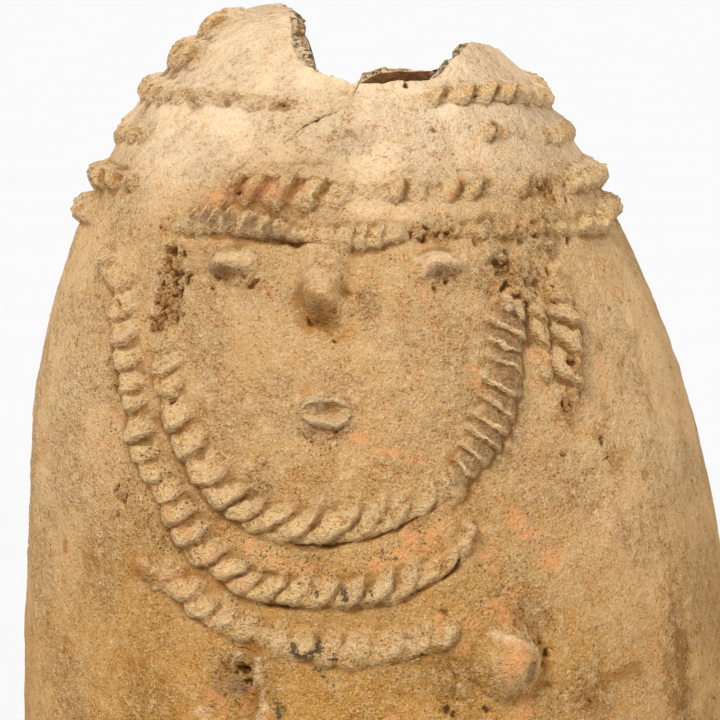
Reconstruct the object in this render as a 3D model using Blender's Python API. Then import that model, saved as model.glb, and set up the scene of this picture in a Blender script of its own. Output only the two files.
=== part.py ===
"""Anthropomorphic funerary urn: one hollow, hand-built terracotta body.

Metres, +Z up, origin at the centre of the flat underside. The face looks
towards -Y. A place on the wall is given by its bearing, in degrees from -Y
towards +X, and its height. Applied clay strips, pinched between finger and
thumb, make the headdress rows, the face frame and the necklaces.
"""

import math

import bpy
import numpy as np

# ---------------------------------------------------------------- main sizes
WALL = 0.009          # wall thickness of the body
WALL_NECK = 0.0078    # at the brow, and
WALL_TOP = 0.0056     # at the highest part of the break
FLOOR = 0.012         # thickness of the floor
BASE_FLAT = 0.074     # radius of the flat of the underside

# Turned-like section: height, radius, lean of the centre line towards +X.
SECTION = (
    (0.0000, 0.0780, 0.0000),
    (0.0080, 0.0850, 0.0000),
    (0.0300, 0.1000, 0.0012),
    (0.0700, 0.1240, 0.0040),
    (0.1200, 0.1470, 0.0090),
    (0.1650, 0.1585, 0.0135),
    (0.2050, 0.1622, 0.0158),
    (0.2350, 0.1615, 0.0160),
    (0.2700, 0.1588, 0.0146),
    (0.3100, 0.1550, 0.0130),
    (0.3500, 0.1500, 0.0094),
    (0.3800, 0.1450, 0.0058),
    (0.4140, 0.1362, 0.0034),
    (0.4370, 0.1275, 0.0023),
    (0.4560, 0.1195, 0.0016),
    (0.4790, 0.1080, 0.0009),
    (0.4980, 0.0965, 0.0000),
    (0.5080, 0.0905, 0.0000),
    (0.5176, 0.0825, 0.0000),
    (0.5310, 0.0690, 0.0000),
    (0.5400, 0.0590, 0.0000),
    (0.5460, 0.0480, 0.0000),
    (0.5490, 0.0360, 0.0000),
    (0.5505, 0.0200, 0.0000),
)

# Broken mouth: bearing and distance from the centre line of the corners of
# the break, on the outer face and on the inner face of the wall.
BREAK_OUT = (
    (-178, 0.0855), (-170, 0.0882), (-160, 0.0886), (-150, 0.0830),
    (-140, 0.0690), (-126, 0.0430),
    (-95, 0.0290), (-56, 0.0283), (-38, 0.0350), (-26, 0.0450),
    (-20.5, 0.0515), (-14.5, 0.0642), (-9.2, 0.0713), (-5.5, 0.0742),
    (-3.2, 0.0752), (2.5, 0.0777), (8, 0.0800), (16, 0.0804), (22.5, 0.0793),
    (32.8, 0.0800), (38, 0.0782), (41.2, 0.0760), (43.5, 0.0742), (47, 0.0724),
    (51, 0.0706), (55, 0.0688), (58, 0.0672), (61, 0.0658), (65, 0.0648),
    (72, 0.0652), (80, 0.0668),
    (100, 0.0690), (122, 0.0700), (138, 0.0770), (150, 0.0815), (160, 0.0823),
    (168, 0.0807), (174, 0.0818),
)
BREAK_IN = (
    (-178, 0.0806), (-170, 0.0836), (-160, 0.0840), (-150, 0.0780),
    (-140, 0.0630), (-126, 0.0375),
    (-95, 0.0235), (-60, 0.0215), (-42, 0.0240), (-28, 0.0320),
    (-17.5, 0.0440), (-13, 0.0530), (-9.5, 0.0590), (-6.8, 0.0645),
    (-5.6, 0.0675), (-4.4, 0.0705), (-2, 0.0725), (2, 0.0745), (8, 0.0770),
    (17, 0.0775), (25, 0.0765), (36, 0.0760), (42, 0.0722), (47, 0.0697),
    (51, 0.0681), (55, 0.0663), (58, 0.0646), (61, 0.0630), (65, 0.0612),
    (72, 0.0600), (80, 0.0608), (100, 0.0630), (122, 0.0640),
    (138, 0.0710), (150, 0.0755), (160, 0.0772), (170, 0.0768),
)

# Pinched strips that run round the head: height of the middle, width,
# how proud they stand, distance between pinches, slant of the pinches (they
# lean towards the upper right when it is less than 0), and how well they
# survive at each bearing (1 whole, 0 lost).
ROWS = (
    dict(z=0.5420, width=0.0100, proud=0.0042, pitch=0.0125, slant=-0.6,
         left=((-140, 0), (-128, 1), (-72, 1), (-58, 0))),
    dict(z=0.5290, width=0.0110, proud=0.0046, pitch=0.0130, slant=-0.6,
         left=((-150, 0), (-138, 1), (-66, 1), (-46, 0))),
    dict(z=0.5140, width=0.0110, proud=0.0050, pitch=0.0135, slant=-0.9,
         left=((-180, 1), (-62, 1), (-50, .55), (-36, .35), (-12, .3), (-6, 0), (29, 0),
               (33, 1), (180, 1))),
    dict(z=0.4950, width=0.0110, proud=0.0042, pitch=0.0130, slant=-0.5,
         left=((-180, 1), (-60, 1), (-44, 0), (38, 0), (42, .7), (46, .7),
               (49, 0), (66, 0), (76, 1), (180, 1))),
    dict(z=0.4755, width=0.0120, proud=0.0056, pitch=0.0125, slant=-0.5,
         left=((-180, 1), (-66, 1), (-46, .5), (-40, 0), (-22, 0), (-19, 1),
               (2, 1), (8, .45), (13, .35), (17, 1), (23, .5), (28, 1), (42, .9),
               (50, .2), (60, .2),
               (66, 1), (180, 1))),
    dict(z=0.4605, width=0.0115, proud=0.0052, pitch=0.0066, slant=-0.15,
         left=((-180, 1), (-82, 1), (-72, .1), (-40, .1), (-35, 1), (14, 1),
               (18, .6), (62, .6), (72, 1), (180, 1))),
)

# Curved strips: half an ellipse that hangs below its middle, with its two
# ends carried up to the given heights. Three values in a row are those at the
# left end, at the lowest part and at the right end.
FACE_FRAME = dict(mid=(1.5, 0.4180), half=(31.0, 32.5), drop=0.0765, tilt=-4.5,
                  tops=((-29.0, 0.4190), (34.5, 0.4400)),
                  width=(0.0112, 0.0140, 0.0168), proud=0.0056,
                  pitch=(0.0105, 0.0145, 0.0086), slant=(0.42, -0.95, -0.25))
NECKLACE = dict(mid=(-5.0, 0.4140), half=(32.5, 41.0), drop=0.1000, tilt=0.0,
                tops=((-50.0, 0.4470), None), stop=(-180, 43),
                width=(0.0112, 0.0128, 0.0118), proud=0.0054,
            pitch=(0.0100, 0.0122, 0.0118), slant=(0.45, -0.45, -0.20))
THIRD = dict(mid=(-7.0, 0.3500), half=(32.0, 37.0), drop=0.0585, tilt=0.0,
             tops=(None, None), stop=(-55, 39),
             width=0.0118, proud=0.0044, pitch=0.0115, slant=(0.40, -0.25, -0.15))
# Short strips that hang beside the right ear: top and foot.
SIDE_STRIPS = (
    dict(top=(49.5, 0.4460), foot=(44.0, 0.3880), width=0.0100, proud=0.0042),
    dict(top=(43.0, 0.4300), foot=(40.5, 0.4020), width=0.0090, proud=0.0036),
)

# Face, set out about its own middle line: a narrow nose that hangs from the
# brow strip, two lens-shaped eyes just under it and a small oval mouth.
FACE_MID = 3.6        # bearing of the middle line, degrees
FACE_SLIP = 2.0       # nose and mouth sit a little to one side of it
BROW_EDGE = 0.4550    # underside of the brow strip
CHIN_EDGE = 0.3470    # upper side of the face frame under the chin
FACE_WIDE = 67.0      # between the sides of the frame, degrees
FACE_HIGH = BROW_EDGE - CHIN_EDGE
EYE_AT = (0.30 * FACE_WIDE, BROW_EDGE - 0.085 * FACE_HIGH)
EYE_SIZE = (0.0110, 0.0066, 0.0062)     # half width, half height, proud
NOSE_FOOT = BROW_EDGE - 0.305 * FACE_HIGH
NOSE_SIZE = (0.0078, 0.0086, 0.0096)    # half width above and below, proud
NOSE_UNDER = 0.0135                     # length of its sloping underside
MOUTH_AT = BROW_EDGE - 0.64 * FACE_HIGH
MOUTH_SIZE = (0.0122, 0.0068, 0.0034)

BREAST = dict(at=(26.2, 0.2845), radius=0.0148, proud=0.0100)
STUB = dict(at=(16.0, 0.2785), radius=0.0070, proud=0.0022)
LOST_BREAST = dict(at=(-15.0, 0.2740), radius=0.0140, deep=0.0020)
# Rough hollows where strips broke away: bearing, height, half sizes, depth.
SCARS = (
    (-29.5, 0.4370, 0.0085, 0.0185, 0.0016),
    (38.5, 0.4350, 0.0095, 0.0100, 0.0014),
    (55.5, 0.4725, 0.0080, 0.0060, 0.0014),
)

COLUMNS = 300
WALL_ROWS = 150
RIM_ROWS = 16
INNER_ROWS = 26
FACES_KEPT = 9400


# ------------------------------------------------------------------- helpers
def smooth_through(table):
    """Monotone cubic through a table's first two columns."""
    x = np.array([row[0] for row in table], float)
    y = np.array([row[1] for row in table], float)
    h = np.diff(x)
    d = np.diff(y) / h
    m = np.zeros_like(y)
    m[0], m[-1] = d[0], d[-1]
    for i in range(1, len(x) - 1):
        if d[i - 1] * d[i] > 0:
            a, b = 2 * h[i] + h[i - 1], h[i] + 2 * h[i - 1]
            m[i] = (a + b) / (a / d[i - 1] + b / d[i])

    def at(q):
        q = np.clip(np.asarray(q, float), x[0], x[-1])
        i = np.clip(np.searchsorted(x, q) - 1, 0, len(h) - 1)
        u = (q - x[i]) / h[i]
        return ((2 * u**3 - 3 * u**2 + 1) * y[i] + (u**3 - 2 * u**2 + u) * h[i] * m[i]
                + (3 * u**2 - 2 * u**3) * y[i + 1] + (u**3 - u**2) * h[i] * m[i + 1])

    return at


def around(table):
    """The same for a closed table of bearings, repeated on both sides."""
    rows = sorted(table)
    return smooth_through([(a - 360, v) for a, v in rows] + rows
                          + [(a + 360, v) for a, v in rows])


radius_at = smooth_through([(z, r) for z, r, _ in SECTION])
lean_at = smooth_through([(z, c) for z, _, c in SECTION])

# Length along the wall's section, so that distances on the wall are true.
_Z = np.linspace(0.0, SECTION[-1][0], 4000)
_R = radius_at(_Z)
_T = np.concatenate([[0], np.cumsum(np.hypot(np.diff(_Z), np.diff(_R)))])
_SLOPE_R = np.gradient(_R, _T)
_SLOPE_Z = np.gradient(_Z, _T)


def along(z):
    return np.interp(z, _Z, _T)


def height(t):
    return np.interp(t, _T, _Z)


def reach(t):
    return np.interp(t, _T, _R)


SHOULDER = 0.45       # above this height the radius only falls


def along_from_reach(r):
    top = _Z > SHOULDER
    return np.interp(-np.asarray(r), -_R[top], _T[top])


def wrap(a):
    return (a + 180.0) % 360.0 - 180.0


def smoothstep(x):
    x = np.clip(x, 0.0, 1.0)
    return x * x * (3 - 2 * x)


def survives(bearing, spans):
    return np.interp(bearing, [s[0] for s in spans], [s[1] for s in spans])


# ------------------------------------------------------------------ the wall
def at_share(value, share):
    """One value, or three that change from end to end of a strip."""
    if isinstance(value, tuple):
        return np.interp(share, (0.0, 0.5, 1.0), value)
    return np.full(np.shape(share), float(value))


def pinched(off, run, strip, seed=0.0, length=1.0):
    """Height of a pinched strip: off is the distance from its middle line
    and run the distance along it. Crests stand between the finger marks."""
    half = at_share(strip["width"], run / length) / 2
    lean = run + at_share(strip["slant"], run / length) * off
    if isinstance(strip["pitch"], tuple):
        steps = np.linspace(-0.1, 1.1, 241) * length
        count = np.concatenate([[0], np.cumsum(np.diff(steps) / at_share(strip["pitch"], steps[1:] / length))])
        u = np.interp(lean, steps, count) + seed
    else:
        u = lean / strip["pitch"] + seed
    u = u + 0.10 * np.sin(1.7 * u + 5 * seed) + 0.06 * np.sin(0.53 * u)
    crest = (0.5 + 0.5 * np.cos(2 * math.pi * u)) ** 0.75
    across = np.clip(1 - (off / (half * (0.86 + 0.22 * crest))) ** 2, 0, 1) ** 0.8
    return strip["proud"] * across * (0.42 + 0.58 * crest)


def hanging_curve(strip):
    """Middle line of a curved strip, as bearings, section lengths and runs."""
    (mid_a, mid_z), (left, right) = strip["mid"], strip["half"]
    lo, hi = strip.get("stop", (-90, 90))
    lo, hi = max(lo, -90), min(hi, 90)
    points = []
    for k in range(121):
        q = math.radians(lo + (hi - lo) * k / 120)
        wide = left if q < 0 else right
        down = math.cos(q)
        points.append((mid_a + wide * math.sin(q) + strip["tilt"] * down * down,
                       mid_z - strip["drop"] * down))
    for end, top in zip((0, -1), strip["tops"]):
        if top is None:
            continue
        start = points[end]
        more = [(start[0] + (top[0] - start[0]) * k / 20,
                 start[1] + (top[1] - start[1]) * k / 20) for k in range(1, 21)]
        points = more[::-1] + points if end == 0 else points + more
    return measured(points)


def measured(points):
    a = np.array([p[0] for p in points])
    t = along(np.array([p[1] for p in points]))
    r = reach((t[1:] + t[:-1]) / 2)
    step = np.hypot(np.radians(np.diff(a)) * r, np.diff(t))
    return a, t, np.concatenate([[0], np.cumsum(step)])


def beside(bearing, t, line):
    """Signed distance to the line's nearest point, and its run there."""
    a, lt, run = line
    off = np.full(bearing.shape, 1.0)
    at = np.zeros(bearing.shape)
    best = np.full(bearing.shape, 1.0)
    r = reach(t)
    for i in range(len(a) - 1):
        x0 = np.radians(bearing - a[i]) * r
        y0 = t - lt[i]
        mr = float(reach((lt[i] + lt[i + 1]) / 2))
        dx, dy = math.radians(a[i + 1] - a[i]) * mr, lt[i + 1] - lt[i]
        size = math.hypot(dx, dy)
        u = np.clip((x0 * dx + y0 * dy) / size**2, 0, 1)
        ex, ey = x0 - u * dx, y0 - u * dy
        d = np.hypot(ex, ey)
        closer = d < best
        best = np.where(closer, d, best)
        off = np.where(closer, np.where(dx * ey - dy * ex > 0, d, -d), off)
        at = np.where(closer, run[i] + u * size, at)
    return off, at


def pellet(x, y, half_w, half_h, proud, power=0.5):
    return proud * np.clip(1 - (x / half_w) ** 2 - (y / half_h) ** 2, 0, 1) ** power


def from_mid(bearing, t, a, z):
    """Distance to the right of and above a place on the wall, in metres."""
    return np.radians(bearing - a) * reach(t), t - along(z)


def face(bearing, t):
    rise = np.zeros(bearing.shape)
    for side in (-1, 1):
        x, y = from_mid(bearing, t, FACE_MID + side * EYE_AT[0], EYE_AT[1])
        w, h, proud = EYE_SIZE
        lens = np.clip(1 - np.abs(x / w) ** 1.7 - np.abs(y / h) ** 1.7, 0, 1)
        rise = np.maximum(rise, proud * lens**0.55)
    x, y = from_mid(bearing, t, FACE_MID - FACE_SLIP, NOSE_FOOT)
    long = along(BROW_EDGE) - along(NOSE_FOOT)
    up = np.clip(y / long, 0, 1)
    half = NOSE_SIZE[1] * (1 - up) ** 0.8 + NOSE_SIZE[0] * (1 - (1 - up) ** 0.8)
    ridge = np.clip(1 - (x / half) ** 2, 0, 1) ** 0.7
    tall = NOSE_SIZE[2] * (0.30 + 0.70 * (1 - smoothstep((up - 0.10) / 0.75)))
    foot = np.clip((y + 0.0030) / NOSE_UNDER, 0, 1) ** 0.8
    rise = np.maximum(rise, tall * ridge * foot * (y < long))
    x, y = from_mid(bearing, t, FACE_MID - FACE_SLIP - 0.5, MOUTH_AT)
    lips = pellet(x, y, *MOUTH_SIZE, power=0.45)
    slit = np.exp(-((y + 0.0004) / 0.0012) ** 2) * np.clip(1 - (x / 0.0100) ** 2, 0, 1)
    return np.maximum(rise, lips - 0.0018 * slit * (lips > 0))


def relief(bearing, t):
    """How far the outer surface stands off the plain wall."""
    top = np.zeros(bearing.shape)
    for n, row in enumerate(ROWS):
        middle = along(row["z"]) + 0.0012 * np.sin(np.radians(bearing * 3 + 70 * n))
        off = t - middle
        run = np.radians(bearing) * float(radius_at(row["z"]))
        strip = pinched(off, run, row, 0.37 * n)
        top = np.maximum(top, strip * survives(bearing, row["left"]))
    near = (np.abs(bearing) < 75) & (t > along(0.25)) & (t < along(0.47))
    b, s = bearing[near], t[near]
    part = np.zeros(b.shape)
    for n, strip in enumerate((FACE_FRAME, NECKLACE, THIRD)):
        line = hanging_curve(strip)
        off, run = beside(b, s, line)
        one = pinched(off, run, strip, 0.61 * n, float(line[2][-1]))
        if strip is FACE_FRAME:
            one = one * np.where((b < 0) & (s > along(0.416)), 0.15, 1.0)
            one = one * np.where((b > 0) & (s > along(0.432)), 0.35, 1.0)
        part = np.maximum(part, one)
    for n, strip in enumerate(SIDE_STRIPS):
        line = measured([strip["top"], strip["foot"]])
        off, run = beside(b, s, line)
        part = np.maximum(part, pinched(off, run, dict(strip, pitch=0.0115, slant=-0.5), n))
    part = np.maximum(part, face(b, s))
    for dome in (BREAST, STUB):
        x, y = from_mid(b, s, *dome["at"])
        part = np.maximum(part, pellet(x, y, dome["radius"], dome["radius"],
                                       dome["proud"], 0.75))
    top[near] = np.maximum(top[near], part)
    x, y = from_mid(bearing, t, *LOST_BREAST["at"])
    q = np.hypot(x, y) / LOST_BREAST["radius"]
    top = top - LOST_BREAST["deep"] * np.exp(-q**4)
    for a, z, half_w, half_h, deep in SCARS:
        x, y = from_mid(bearing, t, a, z)
        top = top - deep * np.exp(-((x / half_w) ** 2 + (y / half_h) ** 2) ** 2)
    # The hand-built wall is never quite round.
    turn = np.radians(bearing)
    fade = smoothstep(t / 0.10)
    sway = (0.0009 * np.sin(3 * turn + 9 * t) + 0.0007 * np.sin(5 * turn - 17 * t + 1)
            + 0.0005 * np.sin(8 * turn + 31 * t + 2))
    return top + sway * fade


def place(bearing, t, stand_off):
    """Points on the wall, pushed out along its own slope by stand_off."""
    turn = np.radians(bearing)
    r, z = reach(t), height(t)
    nr, nz = np.interp(t, _T, _SLOPE_Z), -np.interp(t, _T, _SLOPE_R)
    r, z = r + nr * stand_off, z + nz * stand_off
    return np.stack([lean_at(z) + r * np.sin(turn), -r * np.cos(turn), z], -1)


def build_grid():
    """The closed surface, as vertices and quads: up the outside, across the
    broken edge, down the inside and over the floor."""
    # Bearings are closer together where the face and the break are.
    even = np.linspace(-180, 180, COLUMNS, endpoint=False)
    turn = np.radians(even)
    bearing = even - math.degrees(1) * 0.42 * np.sin(turn)
    bearing = wrap(bearing)
    rim_out = along_from_reach(around(BREAK_OUT)(bearing))
    rim_in = along_from_reach(around(BREAK_IN)(bearing))
    step_t = along(0.5030)
    rows = []

    def ring(t, stand):
        rows.append(place(bearing, t, stand))

    foot = along(0.0) + 0.0012
    low = np.linspace(foot, along(0.235), 26)
    mid = np.linspace(along(0.235), step_t, WALL_ROWS + 1)[1:]
    for t in np.concatenate([low, mid]):
        tt = np.full(COLUMNS, t)
        ring(tt, relief(bearing, tt))
    for k in range(1, RIM_ROWS + 1):
        tt = step_t + (rim_out - step_t) * k / RIM_ROWS
        ring(tt, relief(bearing, tt))
    outer_edge = rows[-1]

    def inside(t):
        thick = np.interp(t, along(np.array([0, 0.40, 0.51, 0.549])),
                          [WALL, WALL, WALL_NECK, WALL_TOP])
        return -thick + 0.0006 * np.sin(np.radians(bearing * 4) + 60 * t)

    inner_edge = place(bearing, rim_in, inside(rim_in))
    # The break itself: rough, leaning from the outer to the inner edge.
    for k in range(1, 5):
        u = k / 5
        lump = 0.0009 * np.sin(bearing * 0.9 + 4 * k) * math.sin(math.pi * u)
        edge = outer_edge * (1 - u) + inner_edge * u
        edge[:, 2] += lump
        rows.append(edge)
    floor_t = along(0.0085)
    for k in range(INNER_ROWS + 1):
        u = 1 - (1 - k / INNER_ROWS) ** 1.0
        tt = rim_in + (floor_t - rim_in) * u
        ring(tt, inside(tt))
    for share in (0.93, 0.6, 0.3):
        ring_in = rows[-1].copy() if share == 0.93 else ring_in
        flat = ring_in.copy()
        flat[:, 0] *= share
        flat[:, 1] *= share
        flat[:, 2] = FLOOR
        rows.append(flat)
    # The flat underside, up to its rounded foot.
    under = []
    for share in (0.35, 0.7, 1.0):
        turn_b = np.radians(bearing)
        under.append(np.stack([BASE_FLAT * share * np.sin(turn_b),
                               -BASE_FLAT * share * np.cos(turn_b),
                               np.zeros(COLUMNS)], -1))
    rows = under + rows
    points = np.concatenate(rows)
    n, m = COLUMNS, len(rows)
    quads = []
    for j in range(m - 1):
        for i in range(n):
            k = (i + 1) % n
            quads.append((j * n + i, j * n + k, (j + 1) * n + k, (j + 1) * n + i))
    base_mid, floor_mid = len(points), len(points) + 1
    points = np.concatenate([points, [[0, 0, 0], [0, 0, FLOOR]]])
    last = (m - 1) * n
    for i in range(n):
        k = (i + 1) % n
        quads.append((base_mid, k, i))
        quads.append((floor_mid, last + i, last + k))
    return points, quads


# ------------------------------------------------------------- the one piece
def clay():
    """Dry tan terracotta with a dusty surface."""
    mat = bpy.data.materials.new("fired_clay")
    mat.use_nodes = True
    bsdf = mat.node_tree.nodes["Principled BSDF"]
    bsdf.inputs["Base Color"].default_value = (0.56, 0.36, 0.19, 1)
    bsdf.inputs["Roughness"].default_value = 0.92
    bsdf.inputs["Metallic"].default_value = 0.0
    return mat


def build():
    for old in list(bpy.data.objects):
        bpy.data.objects.remove(old, do_unlink=True)
    points, faces = build_grid()
    fine = bpy.data.meshes.new("urn_fine")
    fine.from_pydata(points.tolist(), [], faces)
    fine.validate()
    guide = bpy.data.objects.new("urn_guide", fine)
    bpy.context.scene.collection.objects.link(guide)
    thin = guide.modifiers.new("fewer_faces", "DECIMATE")
    thin.ratio = FACES_KEPT / sum(len(f) - 2 for f in faces)
    thin.use_collapse_triangulate = True
    bpy.context.view_layer.update()
    graph = bpy.context.evaluated_depsgraph_get()
    mesh = bpy.data.meshes.new_from_object(guide.evaluated_get(graph))
    mesh.name = "urn"
    bpy.data.objects.remove(guide, do_unlink=True)
    # The underside stays dead flat, so that the urn stands steadily.
    for vertex in mesh.vertices:
        if vertex.co.z < 0.0006:
            vertex.co.z = 0.0
    urn = bpy.data.objects.new("urn", mesh)
    bpy.context.scene.collection.objects.link(urn)
    mesh.materials.clear()
    mesh.materials.append(clay())
    mesh.shade_smooth()
    mesh.set_sharp_from_angle(angle=math.radians(50))


build()
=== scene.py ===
"""Looks of the anthropomorphic funerary urn.

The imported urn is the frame. Its plain CAD body is replaced by one finely
modelled mesh of the same wall, laid out from the same section and the same
break, with every finger pinch, scar, pit and crack in its place. A place on
the wall is a bearing in degrees, from the face (-Y) towards +X, and a height,
in millimetres in the tables below.
"""

import math

import bpy
import numpy as np
from mathutils import Matrix, Vector


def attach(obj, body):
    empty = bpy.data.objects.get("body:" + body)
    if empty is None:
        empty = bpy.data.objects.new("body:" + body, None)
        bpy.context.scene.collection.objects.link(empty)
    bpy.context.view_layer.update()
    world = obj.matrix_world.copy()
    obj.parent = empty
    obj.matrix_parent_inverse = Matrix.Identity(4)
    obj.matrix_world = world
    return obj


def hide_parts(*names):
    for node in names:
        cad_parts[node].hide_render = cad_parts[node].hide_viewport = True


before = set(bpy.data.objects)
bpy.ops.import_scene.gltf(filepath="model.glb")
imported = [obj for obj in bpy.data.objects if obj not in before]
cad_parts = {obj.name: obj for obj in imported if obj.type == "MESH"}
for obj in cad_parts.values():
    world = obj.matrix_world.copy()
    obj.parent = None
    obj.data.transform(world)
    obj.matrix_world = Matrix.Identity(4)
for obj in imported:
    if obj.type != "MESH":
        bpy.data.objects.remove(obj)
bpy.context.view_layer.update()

# ------------------------------------------------------------ the plain wall
WALL = 0.009
WALL_NECK = 0.0078
WALL_TOP = 0.0056
FLOOR = 0.012
BASE_FLAT = 0.074

# Height, radius, lean of the centre line towards +X, in metres.
SECTION = (
    (0.0000, 0.0780, 0.0000), (0.0080, 0.0850, 0.0000), (0.0300, 0.1000, 0.0012),
    (0.0700, 0.1240, 0.0040), (0.1200, 0.1470, 0.0090), (0.1650, 0.1585, 0.0135),
    (0.2050, 0.1622, 0.0158), (0.2350, 0.1615, 0.0160), (0.2700, 0.1588, 0.0146),
    (0.3100, 0.1550, 0.0130), (0.3500, 0.1500, 0.0094), (0.3800, 0.1450, 0.0058),
    (0.4140, 0.1362, 0.0034), (0.4370, 0.1275, 0.0023), (0.4560, 0.1195, 0.0016),
    (0.4790, 0.1080, 0.0009), (0.4980, 0.0965, 0.0000), (0.5080, 0.0905, 0.0000),
    (0.5176, 0.0825, 0.0000), (0.5310, 0.0690, 0.0000), (0.5400, 0.0590, 0.0000),
    (0.5460, 0.0480, 0.0000), (0.5490, 0.0360, 0.0000), (0.5505, 0.0200, 0.0000),
)
# The break: bearing and distance from the centre line, outside and inside.
BREAK_OUT = (
    (-178, 0.0882), (-170, 0.0912), (-160, 0.0912), (-150, 0.0845),
    (-140, 0.0690), (-126, 0.0430),
    (-95, 0.0290), (-56, 0.0283), (-38, 0.0350), (-26, 0.0450),
    (-20.5, 0.0515), (-14.5, 0.0642), (-9.2, 0.0713), (-5.5, 0.0742),
    (-3.2, 0.0752), (2.5, 0.0777), (8, 0.0800), (16, 0.0804), (22.5, 0.0793),
    (32.8, 0.0800), (38, 0.0782), (41.2, 0.0760), (43.5, 0.0742), (47, 0.0724),
    (51, 0.0706), (55, 0.0688), (58, 0.0672), (61, 0.0658), (65, 0.0648),
    (72, 0.0652), (80, 0.0668),
    (100, 0.0690), (122, 0.0700), (138, 0.0770), (150, 0.0815), (160, 0.0823),
    (168, 0.0807), (174, 0.0818),
)
BREAK_IN = (
    (-178, 0.0833), (-170, 0.0865), (-160, 0.0865), (-150, 0.0780),
    (-140, 0.0630), (-126, 0.0375),
    (-95, 0.0235), (-60, 0.0215), (-42, 0.0240), (-28, 0.0320),
    (-17.5, 0.0440), (-13, 0.0530), (-9.5, 0.0590), (-6.8, 0.0645),
    (-5.6, 0.0675), (-4.4, 0.0705), (-2, 0.0725), (2, 0.0745), (8, 0.0770),
    (17, 0.0775), (25, 0.0765), (36, 0.0760), (42, 0.0722), (47, 0.0697),
    (51, 0.0681), (55, 0.0663), (58, 0.0646), (61, 0.0630), (65, 0.0612),
    (72, 0.0600), (80, 0.0608), (100, 0.0630), (122, 0.0640),
    (138, 0.0710), (150, 0.0755), (160, 0.0772), (170, 0.0768),
)

# ------------------------------------------------- applied and pinched strips
# One row for each crest left standing between two finger marks: bearing and
# height of its outer (lower) end, of its inner (upper) end, and how well it
# survives. The rows follow the strip from its left end to its right end.
FACE_FRAME_CRESTS = (
    (-31.0, 419.5, -27.2, 423.0, .30), (-30.6, 409.5, -26.4, 413.5, .40),
    (-29.9, 399.0, -25.6, 403.5, .80), (-28.6, 391.7, -24.6, 395.7, .95),
    (-26.2, 377.4, -22.9, 382.9, 1.0), (-24.0, 366.4, -19.9, 374.0, 1.0),
    (-22.0, 356.2, -15.8, 361.3, 1.0), (-17.6, 346.3, -12.9, 354.8, 1.0),
    (-14.6, 341.9, -10.1, 349.4, .95), (-10.8, 339.1, -5.9, 347.0, .95),
    (-5.7, 335.2, -1.2, 347.3, 1.0), (-0.7, 335.6, 5.2, 349.2, 1.0),
    (5.6, 338.0, 9.2, 350.5, .52), (10.6, 341.8, 13.2, 354.5, .46),
    (15.2, 346.5, 17.0, 359.0, .46), (20.2, 351.5, 19.6, 362.5, .50),
    (23.7, 361.0, 21.5, 367.3, .95), (25.8, 365.6, 22.9, 372.8, .95),
    (28.2, 371.3, 24.5, 378.7, 1.0), (30.3, 377.1, 26.2, 384.6, 1.0),
    (32.2, 382.9, 27.6, 392.1, 1.0), (34.1, 392.0, 28.6, 399.0, 1.0),
    (35.6, 401.1, 29.7, 408.8, 1.0), (36.1, 408.0, 29.9, 415.2, 1.0),
    (37.2, 413.9, 31.3, 421.5, 1.0), (38.8, 421.4, 32.3, 429.2, .95),
)
NECKLACE_CRESTS = (
    (-51.1, 440.7, -46.7, 445.6, .70), (-43.5, 431.1, -40.1, 437.0, .95),
    (-42.2, 419.8, -37.6, 424.6, .90), (-39.8, 409.0, -35.7, 413.9, 1.0),
    (-38.3, 399.3, -34.2, 403.8, 1.0), (-37.0, 390.0, -33.0, 394.0, .80),
    (-35.4, 382.2, -32.0, 386.8, 1.0), (-34.5, 370.3, -30.3, 375.8, 1.0),
    (-33.1, 362.0, -29.6, 366.3, .90), (-30.9, 354.5, -27.4, 359.7, .95),
    (-28.5, 346.4, -24.6, 351.5, 1.0), (-27.2, 337.3, -21.9, 345.0, 1.0),
    (-24.5, 329.7, -20.2, 337.1, 1.0), (-21.2, 323.4, -16.5, 330.1, 1.0),
    (-18.0, 317.5, -13.2, 324.1, 1.0), (-14.5, 311.9, -11.0, 320.0, .95),
    (-10.4, 310.6, -7.5, 320.0, .95), (-5.8, 310.0, -3.6, 320.0, .85),
    (-1.4, 309.9, 0.3, 319.8, .90), (2.8, 310.5, 4.9, 320.2, .90),
    (6.9, 311.5, 8.9, 321.9, .85), (11.0, 314.0, 13.0, 325.0, .50),
    (14.8, 318.6, 16.9, 329.0, .46), (18.0, 324.4, 19.8, 333.6, .46),
    (20.2, 335.5, 23.4, 343.5, .75),
)
THIRD_CRESTS = (
    (-32.6, 313.8, -31.5, 320.3, .55), (-29.7, 313.0, -25.7, 321.0, .85),
    (-24.9, 307.3, -21.6, 314.7, 1.0), (-22.0, 300.9, -18.6, 307.3, .95),
    (-17.9, 297.3, -15.6, 305.0, .70), (-13.4, 293.6, -11.9, 303.0, .60),
    (-8.6, 289.6, -7.3, 299.6, .60), (-4.6, 287.3, -3.6, 297.6, .75),
    (-0.7, 285.9, 0.4, 296.4, .75), (3.9, 286.3, 4.8, 297.6, .60),
    (8.7, 287.6, 9.9, 298.8, .60), (13.0, 290.0, 13.8, 301.5, .60),
    (16.3, 294.5, 17.0, 304.5, .80),
)
EAR_STRAND_CRESTS = (
    (41.6, 399.0, 39.4, 403.5, .50), (42.4, 411.0, 40.0, 416.6, 1.0),
    (43.2, 420.5, 40.2, 426.0, .80), (43.6, 429.5, 41.0, 434.0, .25),
)
SIDE_STRAND_CRESTS = (
    (44.6, 384.5, 42.0, 388.5, .35), (46.7, 393.4, 42.8, 401.5, 1.0),
    (48.8, 408.3, 45.0, 415.4, 1.0), (50.4, 418.2, 45.6, 422.9, 1.0),
    (51.4, 428.0, 47.2, 432.4, .45), (52.6, 438.0, 48.8, 442.0, .30),
)
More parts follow.
